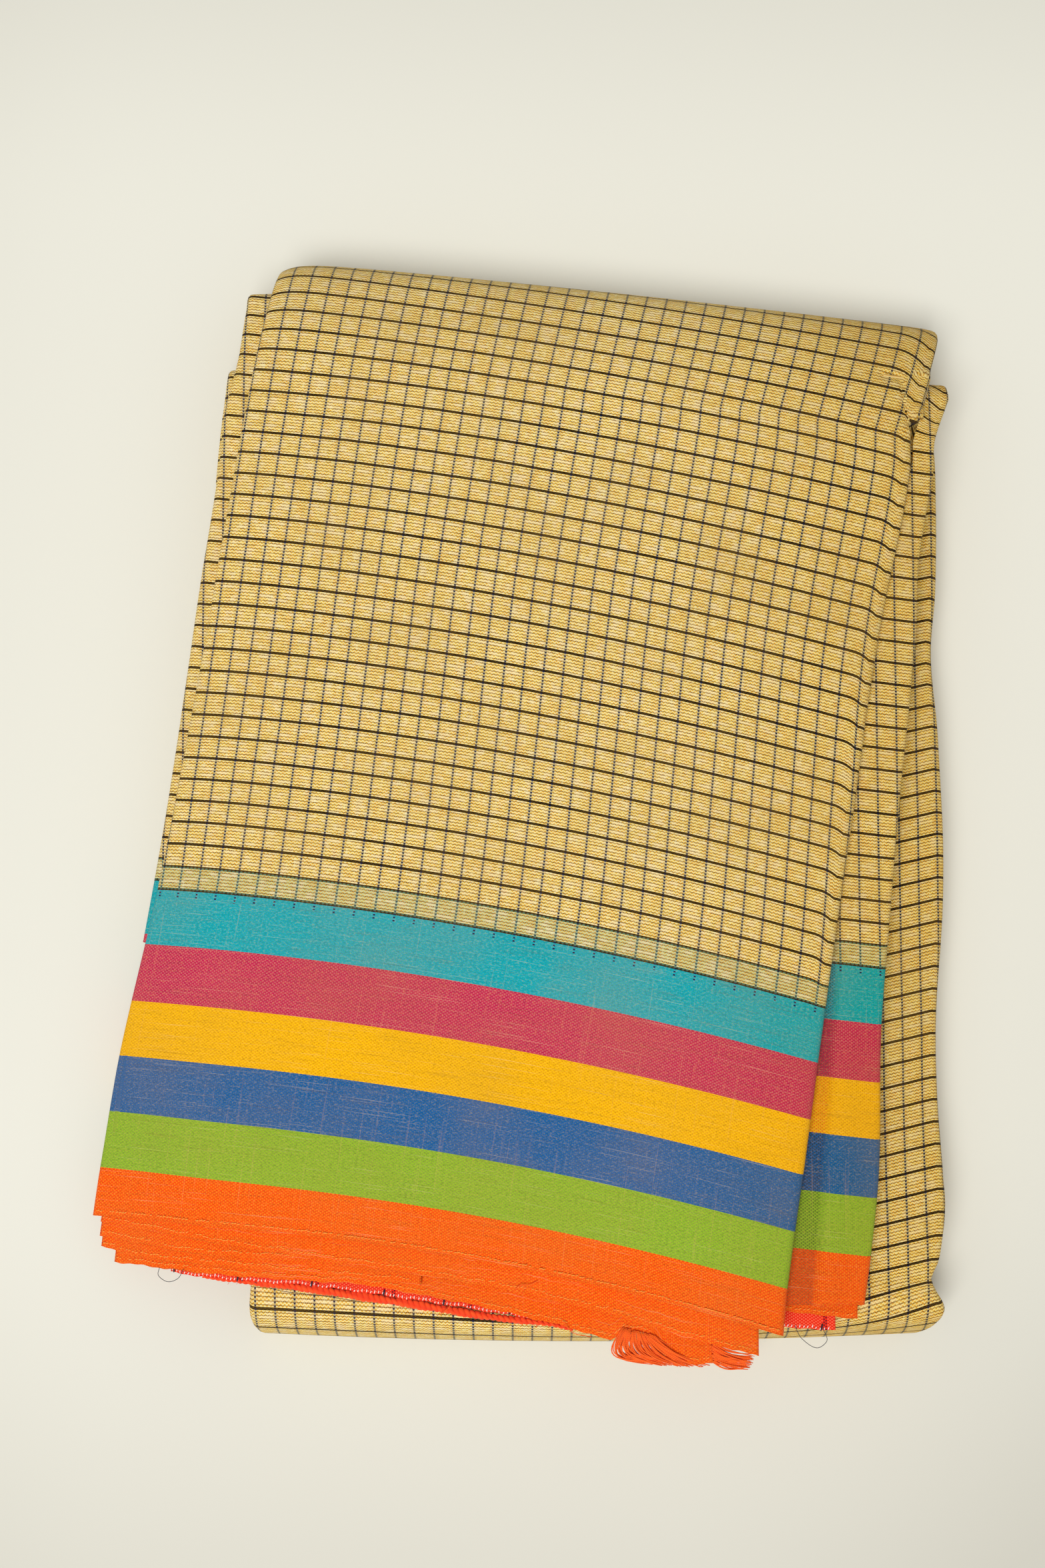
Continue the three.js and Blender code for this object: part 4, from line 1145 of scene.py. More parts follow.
class Yarn(Enum):
    """Threads that lie free: name, colour, and a second colour, mostly darker, painted as shade in the
    twist's grooves and mixed in as uneven tone.
    """

    STITCH = ("stitch_yarn", (255, 176, 72), (255, 132, 34))
    OVERCAST = ("overcast_yarn", (255, 246, 240), (255, 216, 204))
    TICK = ("tick_yarn", (36, 26, 44), (70, 40, 50))
    STRAND = ("strand_yarn", (255, 124, 28), (236, 66, 10))
    STRAY = ("stray_yarn", (62, 66, 78), (40, 42, 52))
    CORD = ("rolled_cord", (255, 92, 30), (234, 52, 22))

    def build(self) -> bpy.types.Material:
        """Makes the material: two shades wound round the thread, the second painted as shade in the grooves
        between turns and mixed in as uneven tone; the bump grooves it too.

        Returns:
            The material.
        """
        name, light, dark = self.value
        s = Shader(name)
        turn, gone = s.cloth()
        pitch = 0.35 if self is Yarn.CORD else 1.6
        twist = (turn + gone * pitch).fract() - 0.5
        edge = twist.absolute() * 2.0
        uneven = s.noise(s.place(turn * 3.0, gone * 0.7), 1.0, 2.0)
        # painted shade: the second colour deepens towards each turn's groove; the noise adds uneven tone
        colour = s.blend(edge * 0.6 + uneven * 0.4, shade(*light), shade(*dark))
        normal = s.bump(1.0 - edge * edge, 0.6, 0.0002 if self is Yarn.CORD else 0.00005)
        return s.finish(
            base_color=colour, roughness=0.8, specular_ior_level=0.25, sheen_weight=0.1, normal=normal
        )


@dataclass
class Finishes:
    """Every material, made once."""

    handloom: bpy.types.Material = field(default_factory=lambda: Handloom().build())
    # painted shade: this copy of the handloom darkens the second right fold left of its valley crease
    valley: bpy.types.Material = field(default_factory=lambda: Handloom("handloom_valley", True).build())
    far: bpy.types.Material = field(default_factory=lambda: FarSelvedge().build())
    yarns: dict = field(default_factory=lambda: {yarn: yarn.build() for yarn in Yarn})


# ---------------------------------------------------------------- declaring pieces


def declare(piece: bpy.types.Object, slot: str, *nodes: str) -> None:
    """Rides a piece on the part's one body and hides the solids it stands for.

    Args:
        piece: the object.
        slot: not used.
        nodes: solids it stands for.
    """
    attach(piece, "root")
    if nodes:
        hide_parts(*nodes)
    LOG.info("%s: %d faces", piece.name, len(piece.data.polygons))


# ---------------------------------------------------------------- the stretches


@dataclass
class TopStretch:
    """The visible top: selvedge at the front, over the pack, and down behind."""

    finishes: Finishes
    left: SideFold = SideFold(1.4, 1.6)
    right: SideFold = SideFold(2.4, 2.6)
    columns: int = 150
    width: float = 200.0
    creases: tuple = (
        (((-118, -42), (-106, 8), (-97, 60)), 0.5, 4.0),
        (((72, -120), (80, -70), (88, -20)), 0.35, 3.5),
        (((102, 20), (110, 60), (114, 100)), 0.4, 3.0),
        (((-60, 150), (-20, 147), (40, 141)), 0.3, 4.0),
        (((111, 127.6), (117.0, 126.6), (117.6, 117), (118.8, 109)), 2.3, 0.8),
        (((123.6, 128), (121.0, 120), (119.6, 112)), -0.8, 1.4),
    )
    weft: Course = Course(
        "v left right",
        [
            (0, -6, 201.4),
            (48, -4, 201.4),
            (100, -2, 201.4),
            (120, -0.7, 202),
            (153, 1, 204.6),
            (206, 3.6, 208.4),
            (259, 5.4, 209.2),
            (330, 6.4, 210),
        ],
    )

    def cloth(self, across: Array, along: Array) -> Array:
        """The cloth's place: its rows turn down close to the right edge, most of all at the back.

        Args:
            across: shares of the width, 0 at the left and 1 at the right.
            along: distances from the selvedge along the course, in millimetres.

        Returns:
            u and v.
        """
        u = mix(self.weft("left", along), self.weft("right", along), across)
        x, y = np.moveaxis(FORM.top_face(across, along)[..., :2], -1, 0)
        inwards = (1 - across) * self.width
        past_dart = ease((y - 126.5) / 2.5)
        flap = 0.042 * np.maximum(12 - inwards, 0) ** 2 * past_dart
        dart = np.maximum(x - 117.4, 0) * ease((y - 108) / 4) * (1 - past_dart)
        turned = ease((along - 95) / 20) * (1 - ease((y - 104) / 8))
        edge = 0.075 * np.maximum(6.5 - inwards, 0) ** 2 * turned
        return stack(u, FORM.row_place(across, along) + flap + dart + edge, 0.0)[..., :2]

    def face(self, across: Array, share: Array) -> Array:
        """The outer face with its soft unevenness; share runs from selvedge to back seam.

        Args:
            across: shares of the width, 0 at the left and 1 at the right.
            share: of the way from the selvedge to the back seam.

        Returns:
            Points of the face.
        """
        along = share * (FORM.bend_start(across) + FORM.back_seam)
        points = FORM.top_face(across, along)
        x, y = points[..., 0], points[..., 1]
        hold = ease(along / 20) * ease((300 - along) / 60)
        points[..., 2] += (0.26 * ripple(x, y, 11, 34) + 0.13 * ripple(x, y, 12, 14)) * hold
        for line, depth, width in self.creases:
            points[..., 2] -= depth * groove(x, y, line, width) * ease(along / 12)
        lip = 0.3 * ease((14 - along) / 14)
        points[..., 2] -= lip * (0.5 + 0.5 * np.sin(x * 0.115 + 0.7))
        return points

    def build(self) -> bpy.types.Object:
        """Returns:
            The object.
        """

        def place(across: Array, share: Array) -> Array:
            """The cloth's place for a share of the stretch."""
            return self.cloth(across, share * (FORM.bend_start(across) + FORM.back_seam))

        places = np.concatenate([np.linspace(0, 0.8, 140, endpoint=False), np.linspace(0.8, 1, 62)])
        columns = np.linspace(0, 1, self.columns)
        grid = with_folds(self.face, place, columns, places, self.width, self.left, self.right)
        piece = shell("top_cloth", grid, WALL, self.finishes.handloom)
        declare(piece, "checked_cotton", "top_stretch")
        return piece


@dataclass
class LowerStretch:
    """The same ply below: up behind, flat on the table, round the front roll, and back on top."""

    finishes: Finishes
    fold: SideFold = SideFold(2.2, 2.4)
    columns: int = 110
    width: float = 208.0
    skew: float = 0.225
    left_lean: float = -0.0146
    pace: float = 0.992
    roll_pace: tuple[float, float] = (0.72, 1.18)
    roll_slack: float = 4.2
    roll_back: float = -149.2
    roll_row: float = 685.7
    column_shift: float = 3.0
    creases: tuple = (
        (((125, -146), (121.5, -148.2), (116, -150)), 0.9, 1.4),
        (((124, -122), (122, -134), (121, -143)), 0.4, 2.0),
        (((112, -100), (114, -70), (118, -44)), 0.3, 3.0),
    )

    def stations(self) -> tuple[Array, Array]:
        """Kind and place of each row: 0 rising, 1 on the table, 2 round the roll, 3 on top.

        Returns:
            Kinds and places.
        """
        rising = np.linspace(FORM.back_seam, FORM.back.end, 16)
        table = np.linspace(0, 1, 48)[1:]
        roll = np.linspace(0, FORM.roll.end, 44)[1:]
        top = np.linspace(0.955, 0.05, 120)
        parts = (rising, table, roll, top)
        kinds = np.concatenate([np.full(len(part), kind) for kind, part in enumerate(parts)])
        return kinds, np.concatenate(parts)

    def points(self, across: Array, row: Array) -> Array:
        """Points of rows given by number.

        Args:
            across: shares of the width, 0 at the left and 1 at the right.
            row: the rows' numbers, as a column.

        Returns:
            Points of the outer face.
        """
        kinds, places = self.stations()
        number = np.clip(np.round(row[:, 0]).astype(int), 0, len(places) - 1)
        shape = (len(number), across.shape[1], 3)
        result = np.empty(shape)
        for kind in range(4):
            chosen = kinds[number] == kind
            if not chosen.any():
                continue
            place = places[number][chosen][:, None]
            if kind == 0:
                result[chosen] = FORM.back_point(across, place)
            elif kind == 2:
                result[chosen] = FORM.roll_point(across, place)
            else:
                x, y = FORM.lower_plan(across, place)
                z = 0 * x if kind == 1 else FORM.lower_top(x, y) + self.unevenness(x, y)
                result[chosen] = stack(x, y, z)
        return result

    def unevenness(self, x: Array, y: Array) -> Array:
        """Soft waves of the top ply, strongest where it lies bare at the right.

        Args:
            x: places across the pack, in millimetres.
            y: places along the pack, in millimetres.

        Returns:
            Heights in millimetres.
        """
        soft = (0.35 * ripple(x, y, 21, 22) - 0.25) * ease((x - 80) / 25)
        for line, depth, width in self.creases:
            soft = soft - depth * groove(x, y, line, width)
        return soft

    def cloth(self, across: Array, row: Array) -> Array:
        """The cloth's place: the top's rows go on down the back and under, to the roll's own rows.

        Args:
            across: shares of the width, 0 at the left and 1 at the right.
            row: the rows' numbers, as a column.

        Returns:
            u and v.
        """
        kinds, places = self.stations()
        number = np.clip(np.round(row[:, 0]).astype(int), 0, len(places) - 1)
        kind, place = kinds[number][:, None], places[number][:, None]
        x, y = np.moveaxis(self.points(across, row)[..., :2], -1, 0)
        lean = np.where(x > 110, self.skew * (x - 85), self.skew * np.maximum(x - 60, 0) ** 2 / 100)
        lean = lean - self.left_lean * np.maximum(60 - x, 0)
        along = np.where(kind == 0, place, FORM.back.end)
        behind = FORM.row_place(across, FORM.bend_start(across) + along)
        left = FORM.roll.end - place
        slack = self.roll_slack * ease(across * 1.6)
        pace = mix(*self.roll_pace, across)
        on_roll = self.roll_row - left * pace + slack * ease(left / 14) - lean
        under = self.roll_row - FORM.roll.end * pace + slack - lean
        on_top = self.roll_row + self.pace * (y - self.roll_back) - lean
        on_table = mix(behind, under, place)
        v = np.select([kind == 0, kind == 1, kind == 2], [behind, on_table, on_roll], on_top)
        return stack(x * 1.01 + self.column_shift, v, 0.0)[..., :2]

    def build(self) -> bpy.types.Object:
        """Returns:
            The object.
        """
        rows = np.arange(len(self.stations()[0]), dtype=float)
        columns = np.linspace(0, 1, self.columns)
        grid = with_folds(self.points, self.cloth, columns, rows, self.width, self.fold, self.fold)
        piece = shell("lower_cloth", grid, WALL, self.finishes.handloom)
        declare(piece, "checked_cotton", "lower_stretch")
        return piece


@dataclass
class SecondRightFold:
    """The second fold out on the right, with its long valley and its own narrow border."""

    finishes: Finishes
    edges: Course = Course(
        "y edge",
        [
            (-153.4, 102.0),
            (-140, 104.0),
            (-114, 106.8),
            (-73, 107.8),
            (-45, 110.2),
            (-6, 113.9),
            (47, 119.8),
            (69, 120.8),
            (96, 125.2),
            (108, 126.0),
            (121, 130.6),
        ],
    )
    drop: float = 5.0
    fold: SideFold = SideFold(1.6, 1.8)

    def face(self, across: Array, y: Array) -> Array:
        """The fold's top: below the top stretch, falling outwards, with a valley beside it.

        Args:
            across: shares of the width, 0 at the left and 1 at the right.
            y: places along the pack, in millimetres.

        Returns:
            Points of the face.
        """
        inner = FORM.top_edge(1.0, y) - mix(-1.2, 6.0, 1 - ease((y - 84) / 18))
        outer = self.edges("edge", y)
        x = mix(inner, outer, across)
        edge = FORM.top_edge(1.0, y)
        share = (x - edge) / (outer - edge)
        deep = ease((-30 - y) / 40)
        past = x - (98.9 + 0.0825 * y)
        valley = deep * (1.0 * ease((0.8 - past) / 1.6) + 0.7 * np.exp(-((past / 1.1) ** 2)))
        ridge = 0.45 * deep * np.exp(-(((past - 5) / 3.0) ** 2))
        base = FORM.upper_face(edge - 1, np.minimum(y, 118.0)) - self.drop - 0.7 * ease(share)
        turn = 7 * (1 - np.sqrt(np.clip(1 - (np.maximum(y - 120, 0) / 7) ** 2, 0, 1)))
        return stack(x, y, base - valley + ridge - turn + 0.12 * ripple(x, y, 31, 16))

    def cloth(self, across: Array, y: Array) -> Array:
        """The cloth's place: rows fall to the right.

        Args:
            across: shares of the width, 0 at the left and 1 at the right.
            y: places along the pack, in millimetres.

        Returns:
            u and v.
        """
        points = self.face(across, y)
        x = points[..., 0]
        flap = 0.7 * np.maximum(x - 121, 0) * ease((y - 106) / 10)
        return stack(x + 0.5, y + 153.6 + 0.114 * (x - 104) + flap, 0.0)[..., :2]

    def build(self) -> bpy.types.Object:
        """Returns:
            The object.
        """
        end = 120 + 7 * np.sin(np.linspace(0, 1.5, 10))
        ys = np.concatenate([np.linspace(-153.6, 120, 150, endpoint=False), end])
        grid = with_folds(self.face, self.cloth, np.linspace(0, 1, 36), ys, 24.0, None, self.fold)
        # its material paints shade on the fold left of the valley crease
        piece = shell("second_right_cloth", grid, WALL, self.finishes.valley)
        declare(piece, "checked_cotton", "second_right_fold")
        return piece


LEFT_FOLD_2 = (
    (-46, -116.0), (-14, -110.6), (12, -106.8), (40, -102.9), (67, -99.2), (87, -96.0),
    (104, -93.9), (116, -93.2), (134, -88.4), (144, -87.2), (151.5, -86.4),
)
LEFT_FOLD_3 = ((96, -95.4), (106, -94.8), (116, -94.0), (124, -93.0), (133, -92.2))


@dataclass
class LeftFold:
    """A fold that shows past the top stretch on the left."""

    finishes: Finishes
    node: str
    edges: Course
    first: float
    last: float
    drop: float
    reach: float
    turn: float
    fold: SideFold = SideFold(1.8, 1.8)

    def face(self, across: Array, y: Array) -> Array:
        """The fold's top, following the sag of the cloth above; its far end turns down.

        Args:
            across: shares of the width, 0 at the left and 1 at the right.
            y: places along the pack, in millimetres.

        Returns:
            Points of the face.
        """
        inner = FORM.top_edge(0.0, y) + self.reach
        x = mix(self.edges("edge", y), inner, across)
        bend = np.clip((y - self.last) / self.turn, 0, 1)
        z = FORM.upper_face(x, np.minimum(y, self.last)) - self.drop
        return stack(x, y, z - self.turn * (1 - np.sqrt(1 - bend * bend)) + 0.1 * ripple(x, y, 41, 12))

    def cloth(self, across: Array, y: Array) -> Array:
        """The cloth's place, in step with the top stretch's rows."""
        x = self.face(across, y)[..., 0]
        return stack(x + 92.0, y + 130.4 + 0.16 * (x + 90), 0.0)[..., :2]

    def build(self) -> bpy.types.Object:
        """Returns:
            The object.
        """
        end = self.last + self.turn * np.sin(np.linspace(0, 1.5, 8))
        ys = np.concatenate([np.linspace(self.first, self.last, 90, endpoint=False), end])
        grid = with_folds(self.face, self.cloth, np.linspace(0, 1, 16), ys, 9.0, self.fold, None)
        piece = shell(self.node + "_cloth", grid, WALL, self.finishes.handloom)
        declare(piece, "checked_cotton", self.node)
        length = (self.last - self.first + self.turn) * MM
        return piece


@dataclass
class HiddenLayers:
    """The plies between: one bent solid whose sides are ridged, a fold's edge to each ply."""

    finishes: Finishes
    clearance: float = 1.3
    plies: int = 7
    per_ply: int = 8
    columns: int = 12

    def ring(self, outer: Array, inner: Array, reach: Callable, seed: float) -> tuple[Array, Array]:
        """One ring: outer line, right side, inner line back, left side.

        A side's ply edges are half rounds; each sits a little further in or out than the next.

        Args:
            outer, inner: the two lines' points, left to right, the same number in each.
            reach: how far a side may come out, from its number and the depth in millimetres.
            seed: where along the pack the ring is, for the plies' slow waver.

        Returns:
            The ring's points and the ply each belongs to.
        """
        depth = np.linspace(0, 1, self.plies * self.per_ply + 1)[1:-1]
        ply = np.floor(depth * self.plies)
        swell = np.sqrt(np.clip(1 - (2 * (depth * self.plies - ply) - 1) ** 2, 0, 1))
        sides = []
        for side, (edge, other) in enumerate(((outer[-1], inner[-1]), (outer[0], inner[0]))):
            away = outer[-1] - outer[-2] if side == 0 else outer[0] - outer[1]
            outwards = unit(away * np.array([1, 1, 0]))
            waver = 0.7 * np.sin(ply * 2.3 + side + seed * 0.031) + 0.5 * np.sin(ply * 4.1 + seed * 0.083)
            out = reach(side, depth * np.linalg.norm(edge - other)) + waver - 1.2 + swell * 1.1
            points = mix(edge[None], other[None], depth[:, None]) + outwards[None] * out[:, None]
            sides.append(points if side == 0 else points[::-1])
        points = np.concatenate([outer, sides[0], inner[::-1], sides[1]])
        number = np.concatenate([np.zeros(len(outer)), ply, np.full(len(inner), 9.0), ply[::-1]])
        return points, number

    def under_folds(self, y_left: float, y_right: float) -> Callable:
        """How far a side comes out: inside the top's edge above, and out under the folds below.

        Args:
            y_left: where the ring meets the left side.
            y_right: where it meets the right side.

        Returns:
            How far out, from a side (0 right, 1 left) and a depth.
        """
        right = float(FORM_RIGHT("edge", y_right) - FORM.top_edge(1.0, y_right))
        right *= float(ease((116 - y_right) / 12))
        left = max(float(FORM.top_edge(0.0, y_left) - LEFT_EDGE("edge", y_left)), 0.0)
        left *= float(ease((y_left + 44) / 10) * ease((148 - y_left) / 10))

        def reach(side: int, depth: Array) -> Array:
            """The reach at a depth in millimetres."""
            under = ease((depth - (8.2 if side == 0 else 6.4)) / 1.4)
            return mix(2.6, 4.4 + (right if side == 0 else left), under)

        return reach

    def runs(self) -> list[tuple[Array, Array, Callable]]:
        """Outer line, inner line and reach of each ring: under the top, round the back, and below.

        Returns:
            The rings, in order.
        """
        share = np.linspace(0, 1, self.columns)
        across = mix(0.03, 0.97, share)
        clear = self.clearance
        runs: list[tuple[Array, Array, Callable]] = []
        for start in np.linspace(0, 1, 90):
            face = FORM.top_face(across, mix(24.0, FORM.bend_start(share), start))
            x, y = face[:, 0], face[:, 1]
            past = FORM.edges("left", np.clip(y, -150, 150)) - x
            hanging = np.maximum(FORM.upper_top(x, y) - FORM.upper_thickness, 0.4)
            resting = np.maximum(FORM.lower_top(x, y) + 0.5, hanging)
            floor = mix(resting, hanging, ease((past - 1) / 10))
            outer = face - np.array([0, 0, clear])
            runs.append((outer, stack(x, y, floor), self.under_folds(y[0], y[-1])))
        step = 0.01
        for past in np.linspace(4, 66, 26):
            dx = FORM.back_point(across + step, past) - FORM.back_point(across - step, past)
            dy = FORM.back_point(across, past + 0.3) - FORM.back_point(across, past - 0.3)
            outer = FORM.back_point(across, past + 0 * across) - unit(np.cross(dx, dy)) * clear
            x, y = FORM.lower_plan(across, 0.045 + 0 * across)
            angle = math.pi * past / FORM.back.end
            z = FORM.lower_top(x, y) - 0.3 + 0.9 * math.cos(angle)
            runs.append((outer, stack(x, y + 0.9 * math.sin(angle), z), lambda side, depth: 2.8 + 0 * depth))
        for place in np.linspace(0.03, 0.965, 60):
            x, y = FORM.lower_plan(across, place + 0 * across)
            inner = stack(x, y, FORM.lower_top(x, y) - clear)
            runs.append((stack(x, y, clear + 0 * x), inner, lambda side, depth: 3.4 + 0 * depth))
        return runs

    def build(self) -> bpy.types.Object:
        """Returns:
            The object.
        """
        rings, plies, gone, where = [], [], [], 0.0
        previous = None
        for outer, inner, reach in self.runs():
            centre = outer.mean(axis=0)
            where += 0.0 if previous is None else float(np.linalg.norm(centre - previous))
            previous = centre
            points, number = self.ring(outer, inner, reach, where)
            rings.append(points)
            plies.append(number)
            gone.append(where)
        grid, ply = np.array(rings), np.array(plies)
        rows, size = grid.shape[:2]
        u = np.arange(size)[None, :] * 0.35 + ply * 3.1
        v = np.array(gone)[:, None] + 24 + ply * 2.63
        cloth = stack(u, v, 0.0)
        line = self.columns
        side = (size - 2 * line) // 2
        top = np.arange(line)
        bottom = line + side + np.arange(line)[::-1]
        end = np.stack([top[:-1], bottom[:-1], bottom[1:], top[1:]], axis=-1)
        faces = [grid_faces(rows, size, wrap_columns=True), end, end[:, ::-1] + (rows - 1) * size]
        places = cloth[..., :2].reshape(-1, 2)
        piece = new_object("hidden_layers", grid.reshape(-1, 3), faces, places, self.finishes.handloom)
        declare(piece, "checked_cotton", "folded_layers")
        return piece


FORM_RIGHT = SecondRightFold.edges
LEFT_EDGE = Course("y edge", LEFT_FOLD_2)


# ---------------------------------------------------------------- selvedges


@dataclass(frozen=True)
class LeafPlan:
    """One selvedge layer: how deep it lies and the line of its visible edge."""

    name: str
    level: float
    edge: tuple[tuple[float, float], ...]
    far: bool = False


LEAVES = (
    LeafPlan(
        "selvedge_layer_2",
        0,
        ((-128.4, -130.6), (-108, -133.0), (-72, -138.1), (-34, -143.6), (-1, -149.3), (26, -155.7),
         (46, -162.0), (69.6, -168.0)),
    ),
    LeafPlan(
        "selvedge_layer_3",
        1,
        ((-129.0, -135.2), (-116, -136.6), (-100, -138.8), (-72, -140.0), (-40, -142.0)),
    ),
    LeafPlan(
        "selvedge_layer_4",
        2,
        ((-128.8, -138.6), (-116, -141.2), (-86, -142.6), (-52, -145.6), (-30, -147.5)),
    ),
    LeafPlan(
        "selvedge_layer_5",
        3,
        ((-124.6, -143.2), (-110, -143.9), (-83, -145.6), (-48, -147.6), (-16, -153.4), (13, -160.1),
         (26, -164.2), (30, -161.2), (38, -162.4), (42, -169.6), (50, -171.0), (57, -170.6)),
    ),
    LeafPlan(
        "far_selvedge_1",
        4,
        ((-106, -145.2), (-86, -146.9), (-64, -148.2), (-48, -150.2), (-24, -153.7), (-10, -156.0),
         (14, -159.6), (60, -161.0)),
        True,
    ),
    LeafPlan("far_selvedge_2", 5, ((-100, -142.0), (-48, -148.0), (14, -157.0), (60, -158.4)), True),
)


def leaf_height(x: Array, y: Array, level: float) -> Array:
    """Height of a selvedge layer's face; past the top's own edge it droops a little."""
    past = np.maximum(0, -140 - y)
    return FORM.upper_top(x, np.maximum(y, -150)) - 1.95 - level * 1.55 - 0.05 * past


def sewn(at: Face, start: Sequence[float], run: Sequence[float], bow: float, radius: float) -> tuple:
    """One thread of sewing, a bowed tube just proud of the cloth.

    Args:
        at: gives the cloth's points for places along its edge and distances in from it.
        start: the thread's first place and distance.
        run: how far it goes on both.
        bow: how high its middle stands, in millimetres.
        radius: of the thread.

    Returns:
        The thread's mesh.
    """
    t = np.linspace(0, 1, 6)
    points = at(start[0] + run[0] * t, start[1] + run[1] * t)
    points[:, 2] += bow * (1 - (2 * t - 1) ** 2) + 0.03
    return tube(points, radius * np.array([0.5, 0.9, 1, 1, 0.9, 0.5]), 6)


def seam(at: Face, ends: Sequence[float], pitch: float, seed: int, inset: float = 1.35) -> list:
    """A line of short slanting stitches along a selvedge, some of them missing.

    Args:
        at: gives the face for places along its edge and distances in from it.
        ends: where the line starts and ends.
        pitch: from stitch to stitch, in millimetres.
        seed: for its unevenness.
        inset: how far in from the edge, in millimetres.

    Returns:
        The stitches' meshes.
    """
    rng = np.random.default_rng(seed)
    missing = 0.14
    made = []
    for x in np.arange(ends[0], ends[1], pitch):
        size, slant = rng.uniform(0.75, 1.1), rng.uniform(0.2, 0.6)
        place = (x + rng.uniform(-0.2, 0.2), inset + rng.uniform(-0.14, 0.14))
        if rng.uniform() > missing:
            made.append(sewn(at, place, (size * math.cos(slant), size * math.sin(slant)), 0.22, 0.16))
    return made


@dataclass
class SelvedgeLeaves:
    """The layers of selvedge that show under the top one, each with its line of stitches."""

    finishes: Finishes
    depth: float = 22.0
    lean: float = 4.2
    ticks: tuple[float, ...] = (-105.0, -85.2, -63.0, -41.4, -23.6, -4.0)

    def front(self, plan: LeafPlan, x: Array) -> Array:
        """The edge's y: straight between its points, with a slight waver."""
        xs, ys = np.array(plan.edge).T
        return np.interp(x, xs, ys) + 0.18 * np.sin(x * 0.5 + plan.level) + 0.12 * np.sin(x * 1.3)

    def at(self, plan: LeafPlan) -> Face:
        """The layer's face: points for places along its edge and distances in from it.

        Args:
            plan: the layer.

        Returns:
            The face as a function.
        """

        def face(x: Array, inwards: Array) -> Array:
            """Points of the face, where inwards is in millimetres from the edge.

            Args:
                x: places across the pack, in millimetres.
                inwards: distances in from the edge, in millimetres.

            Returns:
                Points.
            """
            y = self.front(plan, x) + inwards
            wave = 0.22 * ripple(x, y, 50 + int(plan.level), 16) * (1 - 0.7 * np.clip(inwards / 20, 0, 1))
            return stack(x, y, leaf_height(x, y, plan.level) + wave)

        return face

    def grid(self, plan: LeafPlan) -> Grid:
        """The layer from its edge back under the top stretch.

        Args:
            plan: the layer.

        Returns:
            The layer's grid.
        """
        x0, x1 = plan.edge[0][0], plan.edge[-1][0]
        x = np.linspace(x0, x1, max(int((x1 - x0) / 0.9), 20))[None, :]
        share = (np.linspace(0, 1, 34) ** 1.3)[:, None]
        lines = FORM.course("left_x", self.depth), FORM.course("right_x", self.depth)
        back = FORM.top_plan(np.clip((x - lines[0]) / (lines[1] - lines[0]), 0, 1), np.array(self.depth))[1]
        leant = x + self.lean * share * (1 - ease((x + 129) / 69))
        front = self.front(plan, leant)
        points = self.at(plan)(leant, (back - front) * share)
        cloth = stack(leant + 7.0 + 2.3 * plan.level, points[..., 1] - front, 0.0)[..., :2]
        return Grid(points, cloth)

    def overcast(self, at: Face, ends: Sequence[float]) -> list:
        """Pale threads that wrap the far selvedge's edge, close together and uneven.

        Args:
            at: gives the face for places along its edge and distances in from it.
            ends: where the line starts and ends.

        Returns:
            The threads' meshes.
        """
        rng = np.random.default_rng(91)
        made = []
        for x in np.arange(ends[0], ends[1], 1.2):
            place = (x + rng.uniform(-0.2, 0.2), rng.uniform(0.1, 0.4))
            run = (rng.uniform(0.1, 0.4), rng.uniform(0.6, 1.0))
            made.append(sewn(at, place, run, 0.26, 0.17))
        return made

    def build(self) -> None:
        """Makes every layer and its stitches."""
        bright = seam(self.top_edge, (-129.6, 75.0), 1.05, 69)
        for plan in LEAVES:
            material = self.finishes.far if plan.far else self.finishes.handloom
            piece = shell(plan.name.replace("layer", "leaf") + "_cloth", self.grid(plan), LEAF, material)
            declare(piece, "red_selvedge" if plan.far else "orange_selvedge", plan.name)
            if not plan.far:
                ends = (plan.edge[0][0] + 0.8, plan.edge[-1][0] - 1.6)
                bright += seam(self.at(plan), ends, 1.05, 70 + int(plan.level))
        near, beyond = RIGHT_LAYERS
        bright += seam(near.face, (near.left + 1, near.right - 1.5), 1.4, 78, 1.1)
        self.thread("selvedge_stitches", bright, Yarn.STITCH, "orange_selvedge")
        far = self.at(LEAVES[4])
        pale = self.overcast(far, (-105.4, 10.0)) + self.overcast(beyond.face, (73.0, 92.0))
        self.thread("overcast_stitches", pale, Yarn.OVERCAST, "red_selvedge")
        ticks = [sewn(far, (x, -0.2), (0.35, 2.0), 0.3, 0.3) for x in self.ticks]
        ticks.append(sewn(beyond.face, (89.0, -0.2), (0.5, 2.2), 0.3, 0.3))
        self.thread("tick_stitches", ticks, Yarn.TICK, "red_selvedge")

    def thread(self, name: str, made: list, yarn: Yarn, slot: str) -> None:
        declare(joined(name, made, self.finishes.yarns[yarn]), slot)

    def top_edge(self, x: Array, inwards: Array) -> Array:
        """The top stretch's face near its front edge.

        Args:
            x: places across the pack, in millimetres.
            inwards: distances in from the edge, in millimetres.

        Returns:
            Points of the face.
        """
        left, right = FORM.course("left_x", 0.0), FORM.course("right_x", 0.0)
        points = FORM.top_face((x - left) / (right - left), np.maximum(inwards, 0) + 0 * x)
        return points + np.array([0, 0, 0.1])


@dataclass(frozen=True)
class RightLayer:
    """A short selvedge layer at the right: its ends, its edge's y at each, and how deep it lies."""

    name: str
    left: float
    right: float
    front_left: float
    front_right: float
    drop: float
    far: bool

    def face(self, x: Array, inwards: Array) -> Array:
        """Points of its face, for places along its edge and distances in from it.

        Args:
            x: places across the pack, in millimetres.
            inwards: distances in from the edge, in millimetres.

        Returns:
            Points of the face.
        """
        share = (x - self.left) / (self.right - self.left)
        y = mix(self.front_left, self.front_right, share) + 0.15 * np.sin(x * 0.9) + inwards
        z = FORM.upper_top(np.array(80.0), y) - self.drop + 0.15 * ripple(x, y, 61, 12)
        return stack(x, y, z)


